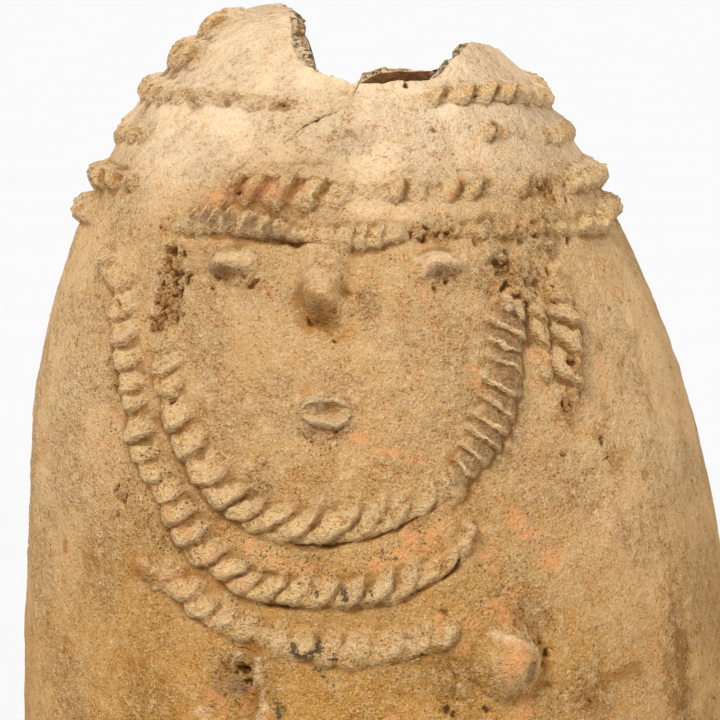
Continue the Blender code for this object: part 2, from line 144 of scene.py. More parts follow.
# Rows that run round the head. "seen" lists the crests that are placed one
# by one (low end, top end, survival); the rest follow at an even pitch.
HEAD_ROWS = (
    dict(z=542.0, form=dict(steep=0.28, drop=0.90, ledge=0.4, lee_shade=0.9, blend=1.2, swell=0.8), wide=10.5, proud=6.2, pitch=12.5, lean=6.0, seen=(),
         left=((-180, 0), (-141, 0), (-128, 1), (-72, 1), (-57, 0), (180, 0))),
    dict(z=529.0, form=dict(steep=0.28, drop=0.90, ledge=0.4, lee_shade=0.9, blend=1.2, swell=0.8), wide=11.0, proud=6.2, pitch=13.0, lean=6.0, seen=(),
         left=((-180, 0), (-151, 0), (-138, 1), (-66, 1), (-44, 0), (180, 0))),
    dict(z=514.0, form=dict(steep=0.26, drop=0.90, ledge=0.62, lee_shade=0.9, blend=1.3, swell=1.0), wide=9.5, proud=6.0, pitch=13.4, lean=10.0,
         seen=((-73.5, 509.5, -69.8, 516.8, .9), (-65.0, 509.6, -62.4, 516.6, .75),
               (-55.0, 509.6, -52.0, 516.6, .62), (-45.5, 509.6, -43.0, 516.4, .55),
               (-36.5, 509.6, -34.5, 516.2, .48), (-28.0, 509.6, -25.5, 516.0, .46),
               (-19.0, 509.6, -16.0, 515.8, .44), (-9.5, 509.6, -7.2, 515.2, .34),
               (-3.0, 509.8, -2.0, 515.0, .05),
               (8.0, 510.0, 9.0, 515.0, .0), (22.0, 510.0, 25.0, 515.6, .0),
               (31.6, 510.6, 36.6, 517.2, .90), (40.8, 510.2, 45.6, 517.4, 1.0),
               (48.8, 509.9, 54.6, 517.2, 1.0), (57.4, 509.8, 63.2, 517.0, 1.0),
               (67.4, 509.8, 73.0, 517.0, .95), (78.0, 507.4, 84.0, 514.6, .9),
               (89.0, 506.6, 95.0, 513.8, .9)),
         left=((-180, 1), (180, 1))),
    dict(z=495.5, form=dict(steep=0.28, drop=0.80, ledge=0.5, lee_shade=0.5, blend=1.4, swell=1.1), wide=10.0, proud=4.0, pitch=12.6, lean=5.0,
         seen=((-70.0, 491.0, -68.2, 498.0, 1.0), (-61.2, 492.0, -59.0, 499.0, .80),
               (-54.8, 493.5, -53.0, 500.5, .45), (-46.0, 493.5, -44.5, 500.0, .0),
               (38.0, 493.0, 40.0, 501.0, .0), (44.6, 495.2, 46.4, 502.6, 1.0),
               (50.6, 495.0, 52.0, 501.5, .34), (56.0, 494.0, 58.0, 501.0, .0),
               (67.0, 491.8, 70.0, 499.5, .55), (75.0, 491.0, 78.5, 499.5, 1.0)),
         left=((-180, 1), (180, 1))),
    dict(z=476.0, form=dict(steep=0.26, drop=0.90, ledge=0.70, lee_shade=1.0, blend=1.25, swell=1.0), wide=10.0, proud=6.8, pitch=12.4, lean=5.0,
         seen=((-64.6, 471.0, -67.6, 481.0, 1.0), (-56.3, 472.1, -57.4, 480.0, .80),
               (-49.0, 472.6, -50.2, 480.2, .55), (-42.0, 472.0, -42.5, 480.0, .05),
               (-31.0, 472.0, -31.0, 480.0, .0), (-22.6, 471.7, -22.9, 480.0, .0),
               (-19.6, 470.4, -17.4, 484.8, 1.0), (-15.4, 470.2, -11.9, 485.6, 1.0),
               (-8.7, 470.0, -4.2, 485.4, 1.0), (-1.7, 470.0, 2.2, 484.0, 1.0),
               (5.0, 472.0, 8.2, 482.0, .46), (11.2, 472.6, 13.4, 480.6, .30),
               (17.0, 471.4, 18.6, 482.0, 1.0), (22.9, 472.5, 24.6, 480.2, .34),
               (28.2, 470.8, 31.8, 481.6, 1.0), (34.4, 472.4, 37.4, 480.0, .62),
               (41.2, 472.4, 43.2, 480.0, .24), (48.6, 472.0, 50.6, 480.4, .60),
               (54.4, 471.6, 56.5, 480.0, .20),
               (60.0, 471.2, 62.5, 479.6, .25), (67.5, 471.0, 70.5, 479.4, .95)),
         left=((-180, 1), (180, 1))),
    dict(z=462.0, form=dict(steep=0.38, drop=0.62, knob=False, lee_shade=0.5, blend=1.15, chalk_and_highlight=1.0), wide=9.5, proud=7.0, pitch=12.2, lean=3.5,
         seen=((-73.0, 456.0, -71.0, 465.0, 1.0), (-66.8, 456.4, -65.6, 464.6, .60),
               (-56.0, 456.5, -55.5, 464.5, .0), (-36.0, 456.5, -36.0, 465.0, .0),
               (-30.2, 456.9, -29.6, 465.6, .60), (-27.5, 457.0, -26.4, 469.6, 1.0),
               (-25.4, 457.6, -24.1, 470.4, 1.0), (-22.9, 457.4, -21.3, 470.0, 1.0),
               (-20.2, 457.4, -18.8, 468.9, 1.0), (-16.6, 457.2, -15.2, 467.4, 1.0),
               (-11.7, 456.8, -10.7, 465.6, 1.0), (-8.4, 456.8, -8.0, 464.2, 1.0),
               (-5.1, 456.2, -4.2, 462.4, 1.0), (-1.6, 455.8, -0.8, 462.6, .90),
               (2.0, 455.0, 2.8, 463.0, .92), (6.4, 453.2, 7.2, 463.4, 1.0),
               (9.0, 453.2, 9.9, 463.2, 1.0), (12.0, 453.8, 13.0, 463.0, .98),
               (16.0, 456.6, 17.2, 463.6, .66), (21.5, 457.2, 22.5, 463.0, .50),
               (28.0, 457.0, 29.5, 462.8, .52), (34.0, 456.4, 36.0, 462.6, .50),
               (41.0, 456.0, 43.0, 462.0, .50), (48.5, 455.6, 50.5, 461.6, .46),
               (55.5, 454.0, 57.5, 460.5, .50), (62.5, 453.6, 65.5, 461.5, .85),
               (70.5, 453.0, 73.5, 461.5, 1.0)),
         left=((-180, 1), (180, 1))),
)

# Grooves and seams: middle line, half width and depth in millimetres.
GROOVES = (
    (((-5.6, 333.6), (-2.6, 334.2), (-0.3, 333.4), (3.2, 335.6), (6.0, 336.4),
      (8.4, 338.8), (10.5, 340.8), (12.5, 343.6), (14.1, 345.6), (15.7, 347.2),
      (17.4, 349.3), (19.4, 352.6)), 1.0, 1.3),
    (((-27.1, 336.1), (-25.4, 332.3), (-23.9, 328.6), (-22.3, 324.8),
      (-20.0, 319.1), (-17.5, 314.8), (-15.8, 312.4), (-14.2, 310.0),
      (-11.4, 308.6), (-7.0, 308.4), (-3.1, 307.9), (0.7, 309.2), (6.8, 310.2),
      (9.9, 311.8), (11.8, 314.2), (14.7, 317.8), (17.0, 320.4), (18.8, 323.8),
      (19.6, 327.5)), 1.0, 1.4),
    (((-21.9, 299.8), (-19.3, 296.8), (-17.4, 294.4), (-16.0, 291.6)), 0.9, 1.1),
    (((-13.5, 322.8), (-8.4, 321.3), (-0.6, 321.0), (7.1, 322.6), (13.4, 326.8),
      (18.4, 333.0)), 1.0, 0.6),
    (((-28.3, 456.0), (-24.1, 457.4), (-21.6, 456.9), (-16.0, 456.7),
      (-11.7, 456.2), (-6.5, 455.9), (-4.2, 454.6), (-2.7, 455.6), (2.5, 454.6),
      (5.4, 453.0), (6.8, 452.2), (11.3, 452.5), (14.0, 454.6), (16.6, 456.6)), 1.1, 2.0),
    (((19.0, 454.8), (22.0, 455.6), (25.0, 454.4)), 0.7, 0.8),
    (((-5.4, 483.0), (-3.0, 482.2), (-0.6, 482.8)), 0.9, 2.0),
    (((2.0, 482.0), (6.0, 481.4)), 0.5, 0.6),
)
CRACKS = (
    (((10.5, 520.0), (9.4, 517.6), (9.0, 516.0), (7.6, 513.4), (7.0, 511.0),
      (4.6, 509.0), (3.0, 508.0), (0.6, 507.2), (-1.0, 505.5), (-2.6, 504.4),
      (-4.0, 503.0), (-5.8, 501.4), (-7.0, 499.0), (-9.0, 496.0)), 0.62, 0.8),
    (((-9.0, 496.0), (-11.0, 493.0), (-14.0, 491.0), (-16.0, 489.0)), 0.50, 0.4),
    (((-3.6, 380.6), (-2.8, 378.2), (-2.4, 376.6)), 0.5, 0.5),
    (((-16.7, 291.2), (-14.0, 290.4), (-12.2, 288.8)), 0.45, 0.5),
    (((10.2, 286.8), (12.6, 289.0), (14.6, 289.6), (16.6, 290.8)), 0.6, 0.7),
    (((24.0, 519.6), (26.0, 516.0), (30.0, 512.6), (33.0, 507.0)), 0.35, 0.35),
)

# Holes: bearing, height, radius, depth (mm), then how dark they read, as painted shade in the hole.
PITS = (
    (-31.2, 450.2, 3.0, 3.2, 1), (-28.2, 449.0, 1.8, 2.0, 1), (-31.0, 445.0, 1.9, 2.2, 1),
    (-33.0, 440.2, 1.3, 1.6, 1), (-31.3, 440.8, 1.4, 1.8, 1), (-29.5, 440.2, 1.5, 2.0, 1),
    (-27.9, 440.2, 1.8, 2.6, 1), (-26.2, 439.6, 2.3, 3.0, 1), (-28.6, 436.4, 1.5, 1.8, 1),
    (-27.2, 433.6, 2.0, 2.4, 1), (-28.6, 432.2, 1.6, 2.0, 1), (-32.2, 428.4, 1.6, 2.0, 1),
    (-30.4, 427.2, 1.9, 2.0, 1), (-33.0, 422.4, 1.6, 1.8, 1), (-31.6, 420.6, 2.2, 2.4, 1),
    (-32.6, 417.6, 1.6, 1.8, 1), (-30.4, 418.2, 1.5, 1.6, .9), (-27.2, 423.0, 1.6, 1.6, .9),
    (-26.0, 424.6, 1.2, 1.4, .9), (-27.2, 412.0, 1.1, 1.2, .8), (-29.2, 422.6, 1.3, 1.5, .9),
    (36.0, 435.4, 1.7, 1.8, .9), (37.2, 437.2, 1.4, 1.5, .8), (40.2, 428.4, 1.8, 1.9, .9),
    (38.2, 445.0, 1.6, 1.6, .8), (48.2, 441.0, 1.6, 1.5, .8), (47.0, 428.2, 1.4, 1.5, .8),
    (41.6, 438.0, 1.2, 1.2, .7), (43.0, 432.6, 1.3, 1.2, .7), (35.2, 441.2, 1.3, 1.2, .7),
    (-26.0, 388.5, 1.4, 1.6, .9), (-40.9, 426.8, 1.1, 1.8, 1), (-40.2, 425.6, 1.1, 1.8, 1),
    (-39.2, 402.0, 1.2, 1.8, 1), (-39.6, 376.8, 1.0, 1.2, .8), (-17.8, 474.4, 1.4, 1.6, .9),
    (-14.0, 440.5, 1.0, .9, .8), (22.0, 461.0, 1.5, 1.3, .8), (32.0, 454.0, 1.3, 1.1, .8),
    (56.5, 452.6, 1.6, 1.8, .9), (45.0, 512.0, .9, 1.0, 1), (25.0, 519.0, 1.6, 2.2, 1),
    (-1.0, 505.5, 1.0, 1.3, .8), (-1.3, 423.4, 1.5, 2.0, 1), (3.0, 416.0, 1.0, 1.1, 1),
    (-12.6, 437.6, 1.7, 1.8, 1), (-11.6, 439.6, 1.0, 1.2, .9), (-20.4, 435.8, 1.1, 1.0, .8),
    (24.3, 434.0, .9, .7, .9), (42.9, 387.2, 1.3, 1.5, .9), (44.4, 386.4, 1.1, 1.2, .9),
    (42.6, 416.8, .9, .9, .9), (46.0, 402.8, 2.2, 1.8, .9), (-14.9, 281.4, 2.0, 2.2, 1),
    (-14.0, 281.9, 1.5, 2.0, 1), (-15.9, 279.8, 1.0, 1.4, 1), (-13.2, 271.1, 1.0, 1.2, .9),
    (-19.6, 265.1, .9, .8, .9), (-18.1, 282.0, .8, .5, .6), (-1.6, 375.6, .9, .8, .9),
    (0.2, 374.7, .9, .8, .9), (31.7, 291.2, 1.2, 1.1, 1), (32.6, 286.0, 1.5, 1.2, 1),
    (31.5, 282.5, 1.4, 1.2, 1), (29.0, 284.3, .8, .5, 1), (16.1, 266.3, 1.6, 1.1, 1),
    (17.0, 264.8, 1.3, 1.0, 1), (22.1, 265.5, 1.4, 1.1, 1), (40.0, 264.5, 1.3, .9, .8),
    (50.0, 370.7, 1.2, .8, 1), (50.4, 363.2, 1.2, .8, 1), (40.8, 366.7, 1.0, .7, 1),
    (12.6, 289.4, .8, .9, 1), (-38.8, 349.0, .9, .8, .9), (-36.4, 343.5, .8, .8, .8),
    (-30.8, 331.6, .9, .9, .9), (-29.6, 329.8, .8, .8, .9),
)
# The ones beside the left eye are worn a little narrower.
PITS = tuple((a, z, 0.85 * r, 0.9 * deep, 0.8 * dark) if a < -25.5 and z > 405 else (a, z, r, deep, dark)
             for a, z, r, deep, dark in PITS)
# Porous patches: bearing, height, half sizes, holes, and how deep they sink.
POROUS = (
    (-30.0, 446.0, 6.0, 8.0, 10, .75), (-29.4, 430.0, 6.5, 11.0, 14, .8),
    (-31.0, 419.0, 5.5, 4.5, 10, .8), (38.0, 438.0, 9.5, 9.5, 6, .7),
    (46.0, 436.0, 7.0, 9.0, 4, .35), (55.6, 472.0, 6.0, 6.0, 8, 1.2),
    (-50.6, 474.0, 4.0, 3.5, 3, .4), (-13.4, 272.0, 4.0, 6.0, 5, .7),
    (-38.8, 396.0, 3.5, 6.0, 8, .5), (32.2, 286.0, 2.4, 6.0, 4, .5),
    (44.0, 381.0, 4.0, 6.0, 4, .35), (6.8, 433.0, 3.0, 9.0, 2, .1),
    (1.0, 426.0, 5.0, 5.0, 3, .4), (-37.0, 345.0, 5.0, 9.0, 12, .2),
    (6.4, 428.0, 2.0, 4.5, 3, .15), (30.0, 459.5, 11.0, 4.0, 6, .3),
    (44.0, 458.5, 14.0, 4.5, 6, .3), (21.0, 459.0, 5.0, 3.5, 8, .6),
    (23.0, 437.5, 5.0, 3.0, 5, .25), (-19.0, 439.5, 4.5, 3.0, 6, .35),
    (36.6, 428.5, 3.5, 4.0, 6, .4), (47.0, 500.0, 4.0, 4.0, 5, .4),
    (-38.0, 510.2, 4.0, 2.4, 1, .3), (-11.2, 510.4, 6.0, 3.0, 1, .5),
    (-42.0, 510.6, 4.0, 2.2, 1, .25), (1.6, 378.8, 5.0, 1.8, 3, .2),
    (-34.0, 459.0, 4.0, 5.0, 8, .6), (62.0, 470.0, 6.0, 7.0, 4, .2),
)

# Crusty ground: bearing, height, half sizes and how rough.
CRUSTS = (
    (-24.0, 461.0, 10.0, 6.0, .5), (-10.0, 460.0, 9.0, 5.0, .7), (4.0, 459.0, 10.0, 6.0, .9),
    (24.0, 459.5, 12.0, 6.0, 1.5), (38.0, 459.0, 13.0, 6.5, 1.6), (52.0, 458.0, 13.0, 7.0, 1.4),
    (32.0, 439.4, 6.0, 8.0, .8), (48.0, 452.0, 10.0, 7.0, 1.9), (36.4, 446.0, 7.0, 7.0, 1.2),
    (-38.5, 510.5, 4.5, 3.6, 1.2), (-11.5, 510.6, 5.5, 3.8, 1.4), (-26.0, 511.5, 12.0, 4.0, .9),
    (36.0, 445.0, 8.0, 8.0, 2.4), (42.0, 438.0, 9.0, 10.0, 2.2), (-30.0, 434.0, 9.0, 20.0, 1.0),
    (-20.0, 476.0, 6.0, 5.0, .8), (24.0, 476.0, 8.0, 5.0, .8), (36.0, 476.0, 8.0, 5.0, 1.1),
    (52.0, 476.0, 12.0, 7.0, 1.1), (46.0, 499.0, 7.0, 5.0, 1.0), (56.0, 497.0, 6.0, 4.0, .6),
    (-50.0, 511.0, 10.0, 3.4, .9), (-36.0, 512.0, 12.0, 3.2, .9), (-24.0, 512.0, 9.0, 3.2, .9),
    (-12.0, 512.0, 6.0, 2.6, .5), (-55.0, 496.0, 8.0, 5.0, .6), (-58.0, 476.0, 10.0, 6.0, .8),
    (1.5, 426.0, 7.0, 5.5, .8), (9.5, 430.0, 5.0, 9.0, .6), (-16.0, 441.0, 8.0, 5.0, .6),
    (24.0, 441.0, 8.0, 5.0, .6), (1.1, 390.5, 9.0, 4.0, .7), (0.6, 380.0, 10.0, 4.0, .6),
    (33.0, 400.0, 8.0, 30.0, .35), (45.0, 410.0, 10.0, 22.0, .6), (-39.0, 410.0, 6.0, 25.0, .5),
    (-15.0, 273.0, 15.0, 16.0, .7), (18.0, 279.0, 12.0, 12.0, .6), (40.0, 268.0, 12.0, 10.0, .6),
    (30.0, 302.0, 12.0, 12.0, .4), (-12.0, 353.0, 8.0, 10.0, .5), (-50.0, 440.0, 7.0, 10.0, .6),
    (7.0, 498.0, 12.0, 8.0, .35), (-10.0, 466.5, 14.0, 2.6, .8), (60.0, 270.0, 9.0, 30.0, .7),
)

# Colour on the clay, and some painted shade and painted highlight, as strokes: points, half width in mm, strength.
STROKES = {
    "pink": (
        (((5, 378), (10, 372), (16, 367)), 2.0, .7), (((27, 405), (27.4, 398)), 2.4, .7),
        (((32, 383), (36, 371)), 2.8, .6), (((30, 342), (33, 333), (36, 325)), 5.0, .75),
        (((24, 328), (27, 316), (27.7, 306.9)), 4.0, .55), (((24.4, 306.2), (26.4, 303)), 3.4, .85),
        (((12, 338), (14, 334), (16, 330)), 3.2, .7), (((-20, 322), (-14, 315)), 3.4, .6),
        (((-24, 472), (-18, 475), (-10, 476)), 4.6, .85), (((-10, 473), (-4, 475)), 3.0, .7), (((-23, 470), (-18, 469)), 2.6, .6), (((28.4, 472), (32.6, 480)), 1.8, .8),
        (((-28.3, 317.1), (-25.8, 315)), 3.6, .6), (((26.8, 290.6), (26.2, 286), (25.6, 282)), 3.9, .95),
        (((28.2, 273.8), (29.5, 272)), 2.4, .6), (((28.6, 266), (27.4, 262), (28.6, 258)), 5.0, .7),
        (((-19.6, 268), (-17.9, 264.7), (-17.6, 260)), 4.6, .65), (((-14.8, 273), (-13.6, 268)), 3.4, .65),
        (((15.6, 303.6), (15.8, 297.4)), 1.5, 1.0), (((18.4, 290.7), (19.4, 292)), 2.4, .6),
        (((18, 446), (20, 436), (18.6, 429)), 2.2, .55), (((38.8, 409), (41.2, 404)), 2.6, .7),
        (((-3.6, 391), (-2.4, 395), (0, 397)), 1.4, .4), (((56.5, 406.7), (54.5, 398), (54.0, 390)), 2.4, .6),
        (((21.5, 302.6), (18.4, 303)), 3.0, .5), (((10.2, 264), (7.8, 260)), 3.6, .6),
        (((40.4, 379), (38.9, 377)), 1.6, .6), (((-33, 320), (-30, 326)), 3.0, .4),
        (((45.4, 420), (46.4, 416)), 1.6, .5), (((-12, 262.5), (-9.4, 260.5)), 3.0, .5),
        (((-13, 333), (-8, 326), (0, 324)), 2.6, .6), (((6, 326), (13, 333), (18, 342)), 2.4, .7),
        (((22, 334), (24.5, 341)), 3.0, .6), (((-27, 345), (-22, 334), (-17, 325)), 2.4, .6),
        (((-25, 312), (-21, 305)), 2.4, .6), (((10, 318), (15, 324), (19, 332)), 2.0, .5),
        (((48, 474), (52, 478)), 2.6, .5), (((0, 300), (4, 303)), 3.0, .35),
    ),
    "stain_and_shade": (
        (((-46.9, 318.6), (-44.1, 318.1), (-43.4, 313.7)), 2.6, .75), (((-43.5, 308), (-42.5, 300)), 2.4, .45),
        (((-34, 318), (-31.9, 317.7), (-30.4, 315)), 2.8, .95), (((-53.5, 322.8), (-53.6, 319)), 1.8, .75),
        (((-52.4, 282.5), (-52.6, 277)), 2.0, .9), (((-59.3, 292), (-59.3, 280)), 1.8, .6),
        (((-63.3, 309), (-63.0, 298)), 1.6, .5), (((-35.2, 279.2), (-35.0, 275)), 2.6, .85),
        (((-39.2, 276.3), (-39.2, 272)), 2.2, .65), (((-32.5, 284), (-32.6, 278)), 2.2, .75),
        (((-43.7, 348.6), (-43.6, 345.6)), 1.8, .6), (((61.0, 286), (60.7, 273), (59.4, 258)), 4.2, .75),
        (((56.8, 274), (56.8, 262), (57.4, 256)), 3.2, .7), (((59.6, 306), (60.4, 296)), 3.4, .45),
        (((60.4, 322), (60.2, 312)), 2.6, .4), (((42.6, 273.0), (46.0, 273.4), (50.6, 275.2)), 2.4, .95),
        (((39.7, 268), (40.0, 262)), 3.6, .8), (((38.4, 265.2), (36.8, 264)), 3.0, .5),
        (((39.7, 290.3), (39.0, 287)), 2.4, .6), (((50, 373), (51.8, 366), (52.4, 358)), 3.8, .7),
        (((52.4, 352), (50, 349)), 4.6, .5), (((45.9, 342.6), (43.5, 339.1)), 3.2, .55),
        (((58.6, 353.6), (58.4, 352.8)), 1.6, .9), (((52.8, 387), (52.6, 380)), 2.4, .5),
        (((14.3, 290.3), (16.0, 290.9)), 2.8, 1.0), (((12.4, 287.6), (15.0, 284)), 3.4, .75),
        (((31.4, 279.6), (31.2, 275)), 2.4, .6), (((32.2, 291), (32.6, 282)), 2.6, .9),
        (((-13.6, 273.6), (-12.8, 268), (-12.4, 263)), 3.2, .8), (((-12.8, 290.2), (-12.4, 288)), 3.0, .8),
        (((0.4, 447.5), (0.6, 445)), 1.7, .45), (((0.4, 440.4), (0.6, 438)), 1.6, .35),
        # painted shade, with some stain: the strokes under the nose and under the left eye on the next three lines
        (((-2.2, 430.4), (0.2, 429.0), (1.4, 427.0)), 3.8, 1.1), (((-2.0, 425.4), (0.4, 423.8), (2.4, 422.8)), 3.4, 1.0),
        (((2.6, 418.6), (4.6, 417.6)), 3.0, .5), (((-19.6, 442.6), (-17.6, 440.8)), 2.4, .7),
        (((-13.4, 438.2), (-11.8, 438.8)), 2.0, .7), (((36, 459), (44, 457.6), (54, 456)), 2.6, .55),
        (((22, 458.6), (26, 457.4)), 2.4, .6), (((-39.8, 509.9), (-36.8, 511.0)), 2.0, .5), (((-13.7, 510.2), (-10.7, 510.9), (-8.2, 512.2)), 2.6, .6), (((45, 499.6), (48, 499)), 2.0, .6),
        (((55.5, 475), (56.4, 468)), 3.6, .85), (((49.5, 474), (60, 476)), 3.5, .6),
        (((45.6, 404.4), (46.3, 400.4)), 2.6, .95), (((44.0, 388.5), (42.6, 386)), 3.0, .8),
        (((43, 382), (44.6, 376)), 4.4, .6), (((38, 444), (36.6, 436), (40, 430)), 3.0, .35),
        (((-30.6, 449), (-29.6, 440), (-29, 430), (-31, 420)), 3.8, .50), (((-17.4, 475.6), (-16.9, 474)), 2.2, .8),
        (((4, 484), (10, 488), (20, 486)), 4.0, .3), (((-38.6, 399), (-37.6, 394)), 2.6, .6),
        (((18.4, 297.2), (19.2, 298.4)), 1.8, .4), (((28.2, 285), (31, 296)), 1.6, .3),
        (((20.0, 345.6), (26, 352)), 3.4, .35), (((3.0, 300), (-6, 304)), 2.4, .35),
        (((50.4, 466), (60, 465.4)), 2.6, .5), (((-0.6, 446.4), (2.2, 447.4)), 2.0, .4),
    ),
    "pigment": (
        (((-6.4, 292.8), (-6.2, 289.8)), 1.9, 1.0), (((-2.5, 294.6), (-2.6, 291.2)), 1.9, .95),
        (((-2.8, 291.2), (-3.8, 290.1), (-4.5, 288.9), (-5.6, 287.8)), 1.1, .95),
        (((-3.8, 287.7), (-2.4, 288.6)), .6, .9), (((-1.5, 287.9), (0.2, 287.2)), .6, .9),
        (((-4.0, 281.5), (-3.2, 283.2), (-2.4, 282.9), (-2.3, 280.4), (-1.4, 278.4)), .9, 1.0),
        (((-4.5, 273.8), (-4.2, 272.6)), .9, .7), (((-2.7, 272.4), (-2.6, 271.4)), .7, .6),
        (((-9.3, 268.9), (-8.9, 266.6), (-8.7, 263.4)), 2.6, .8), (((-8.2, 268), (-8.2, 266)), .8, 1.0),
        (((0.3, 291.0), (-0.2, 289.8)), 1.5, .7), (((2.0, 290.8), (2.2, 289.6)), 1.1, .6),
        (((1.7, 295.2), (1.9, 294.4)), .9, .6), (((-2.6, 315.2), (-2.6, 313.0)), 1.3, .85),
        (((1.6, 315.8), (1.7, 312.4)), 2.0, 1.0), (((5.7, 316.2), (5.7, 313.8)), 1.2, .85),
        (((-7.4, 313.6), (-7.2, 312.4)), .8, .5), (((9.9, 315.6), (9.9, 314.4)), .9, .5),
        (((7.0, 329.6), (10.0, 328.6)), 1.0, .75), (((13.5, 336), (13.9, 335)), .9, .75),
        (((16, 340.4), (16.3, 339.4)), .9, .7), (((17, 344.4), (17.3, 343.4)), .8, .7),
        (((-16, 334), (-15.6, 333)), .9, .6), (((-12, 336), (-11.6, 335.2)), .8, .55),
        (((-28.6, 332.4), (-27.4, 329.6)), .9, .85), (((-33.2, 345), (-31.6, 341.0)), .7, .6),
        (((50.2, 371.6), (49.8, 369.6)), 1.3, .95), (((50.6, 364.2), (50.9, 360.6)), 1.2, .75),
        (((40.8, 367.2), (40.9, 366.2)), 1.2, .9), (((-13, 451.6), (-12.6, 450.4)), .7, .8),
        (((-12, 451.2), (-11.6, 450.2)), .6, .7), (((22.4, 330), (22.7, 329)), .9, .7),
        (((20.6, 331.2), (21.6, 330.6)), .7, .6), (((29.2, 284.6), (29.3, 283.4)), .8, 1.0),
        (((18.2, 297.8), (18.5, 296.6)), 1.3, .8), (((19.0, 297.9), (19.6, 299.0)), .5, .8),
        (((21.2, 302.4), (21.9, 302.8)), .5, .8), (((11.9, 303.6), (11.4, 302.9)), .8, .7),
        (((25.0, 307.6), (24.5, 305.4)), 1.4, .55), (((27.2, 308.4), (27.2, 306.4)), .8, .5),
        (((16.4, 267.4), (15.4, 266.6), (17.2, 263.6)), 1.0, 1.0), (((21.6, 266.2), (22.8, 265.2)), .9, 1.0),
        (((34.4, 262.6), (35.2, 261.4)), .9, .6), (((-18.4, 285.8), (-17.4, 286.0)), .6, .7),
        (((6.2, 302.6), (6.6, 301.4)), .8, .55), (((0.2, 336.9), (0.8, 336.4)), .7, .6),
    ),
    "violet_and_shade": (
        (((-26.4, 461.4), (-26.2, 464)), 1.8, .55), (((-24.2, 461.6), (-23.8, 464.5)), 1.9, .7),
        (((-21.6, 461.0), (-21.0, 464.5)), 2.2, .75), (((-18.2, 460.6), (-17.8, 464)), 2.8, .75),
        (((-14.1, 460.4), (-13.9, 462)), 2.8, .7), (((-10.1, 459.8), (-10.0, 461)), 2.4, .65),
        (((-6.6, 459.2), (-6.4, 460.4)), 2.0, .6), (((-15.6, 277.0), (-15.4, 275.4)), 3.6, .75),
        (((-18.6, 277.5), (-18.9, 272)), 3.0, .45), (((28.6, 283), (28.4, 278)), 2.2, .8),
        # painted shade: the strokes under the right eye and the nose below, and the first one under the left eye on
        # the line after
        (((21.6, 443.0), (24.4, 442.0)), 2.2, .55), (((-2.0, 430.0), (0.2, 428.6)), 2.4, .55), (((2.4, 424), (4.4, 422)), 2.4, .3),
        (((-20.6, 443.4), (-18.0, 441.6)), 2.2, .7), (((-24.5, 459.6), (-19.0, 459.4), (-12.4, 458.2)), 2.2, .5), (((6, 517), (8, 511), (11, 508)), 4.0, .34),
        (((15.6, 511), (19.6, 506)), 4.0, .34), (((33.4, 427), (35.6, 425.5)), 2.6, .5),
        (((0.2, 317), (4.0, 316)), 2.0, .4), (((9.6, 292), (10.2, 290)), 2.4, .45),
        (((30.6, 418.8), (33, 416)), 1.6, .6), (((12.4, 281), (13.4, 276)), 3.6, .25),
        (((-19.2, 474), (-18.9, 478)), 1.8, .5), (((5.6, 438), (6.8, 428)), 2.0, .35),
    ),
    "pepper": (
        (((-30, 366), (-24, 346), (-17, 334), (-8, 326), (4, 325), (16, 333)), 5.5, .9),
        (((-38, 372), (-34, 352), (-29, 334), (-22, 320), (-12, 304)), 4.5, .9),
        (((-18, 292), (-4, 282), (14, 286)), 6.0, .6), (((20, 306), (26, 318), (33, 330)), 8.0, .7),
        (((28, 290), (22, 272), (34, 262)), 9.0, .6), (((-40, 300), (-30, 285), (-22, 268)), 7.0, .5),
        (((46, 372), (54, 360), (60, 350)), 8.0, .5), (((-10, 262), (0, 270), (8, 262)), 6.0, .7),
        (((6, 508), (16, 506), (26, 510)), 6.0, .45), (((-48, 352), (-52, 330)), 8.0, .35),
    ),
    "pale_and_highlight": (
        (((-12.3, 285), (-11.8, 280), (-11.2, 274), (-11.4, 266), (-11.8, 261)), 1.5, .62),
        # painted highlight: the second stroke below, over the top of the breast
        (((-12.6, 279), (-13.4, 276)), 1.6, .6), (((24.0, 296.4), (27.0, 294.8), (29.4, 291.6)), 2.8, .62),
        (((17.6, 281), (19.0, 274.2)), 3.4, .45), (((16.0, 279.6), (15.0, 276)), 2.6, .35),
        (((29.8, 290), (30.6, 284), (29.6, 277)), 1.6, .4), (((0.6, 454), (0.8, 446), (0.9, 437)), 6.0, .35),
        # painted highlight: the strokes on the tops of the eyes
        (((-19.4, 447.6), (-13.4, 449.2)), 2.6, .6), (((19.5, 447.8), (28.0, 447.4)), 2.6, .6),
        # painted highlight: the strokes on the upper arch and the lower rim of the mouth
        (((-4.4, 392.2), (1.1, 394.6), (6.4, 392.6)), 1.8, .4), (((-3.4, 383.4), (1.1, 382.2), (5.4, 383.6)), 1.3, .5),
        (((-30, 520), (-10, 524), (20, 507)), 9.0, .35),
        (((-25, 372), (-24.4, 366)), 1.6, .3), (((64, 514.4), (64.3, 513.6)), .9, .9),
        (((45.5, 342.0), (45.7, 341)), .9, .9), (((38.6, 271.6), (39.2, 271.2)), .9, .8),
        (((-21.6, 263), (-20.6, 260.5)), 1.8, .7), (((35.8, 431.4), (36.2, 430.6)), 1.5, .9),
        (((8.6, 470), (14, 466), (20, 467)), 2.6, .5), (((-4, 300.5), (2, 301)), 1.6, .4),
        (((9, 296), (12, 297)), 3.0, .5), (((-20.5, 312), (-16.6, 309)), 2.0, .45),
        (((43.0, 502.5), (49.3, 502.8)), 1.6, .7), (((33, 310), (36, 303)), 4.0, .3),
        (((20, 296), (23, 298)), 3.2, .35), (((4, 334), (8, 333)), 1.6, .3),
    ),
}

FACE_MID, FACE_SLIP = 3.6, 2.0
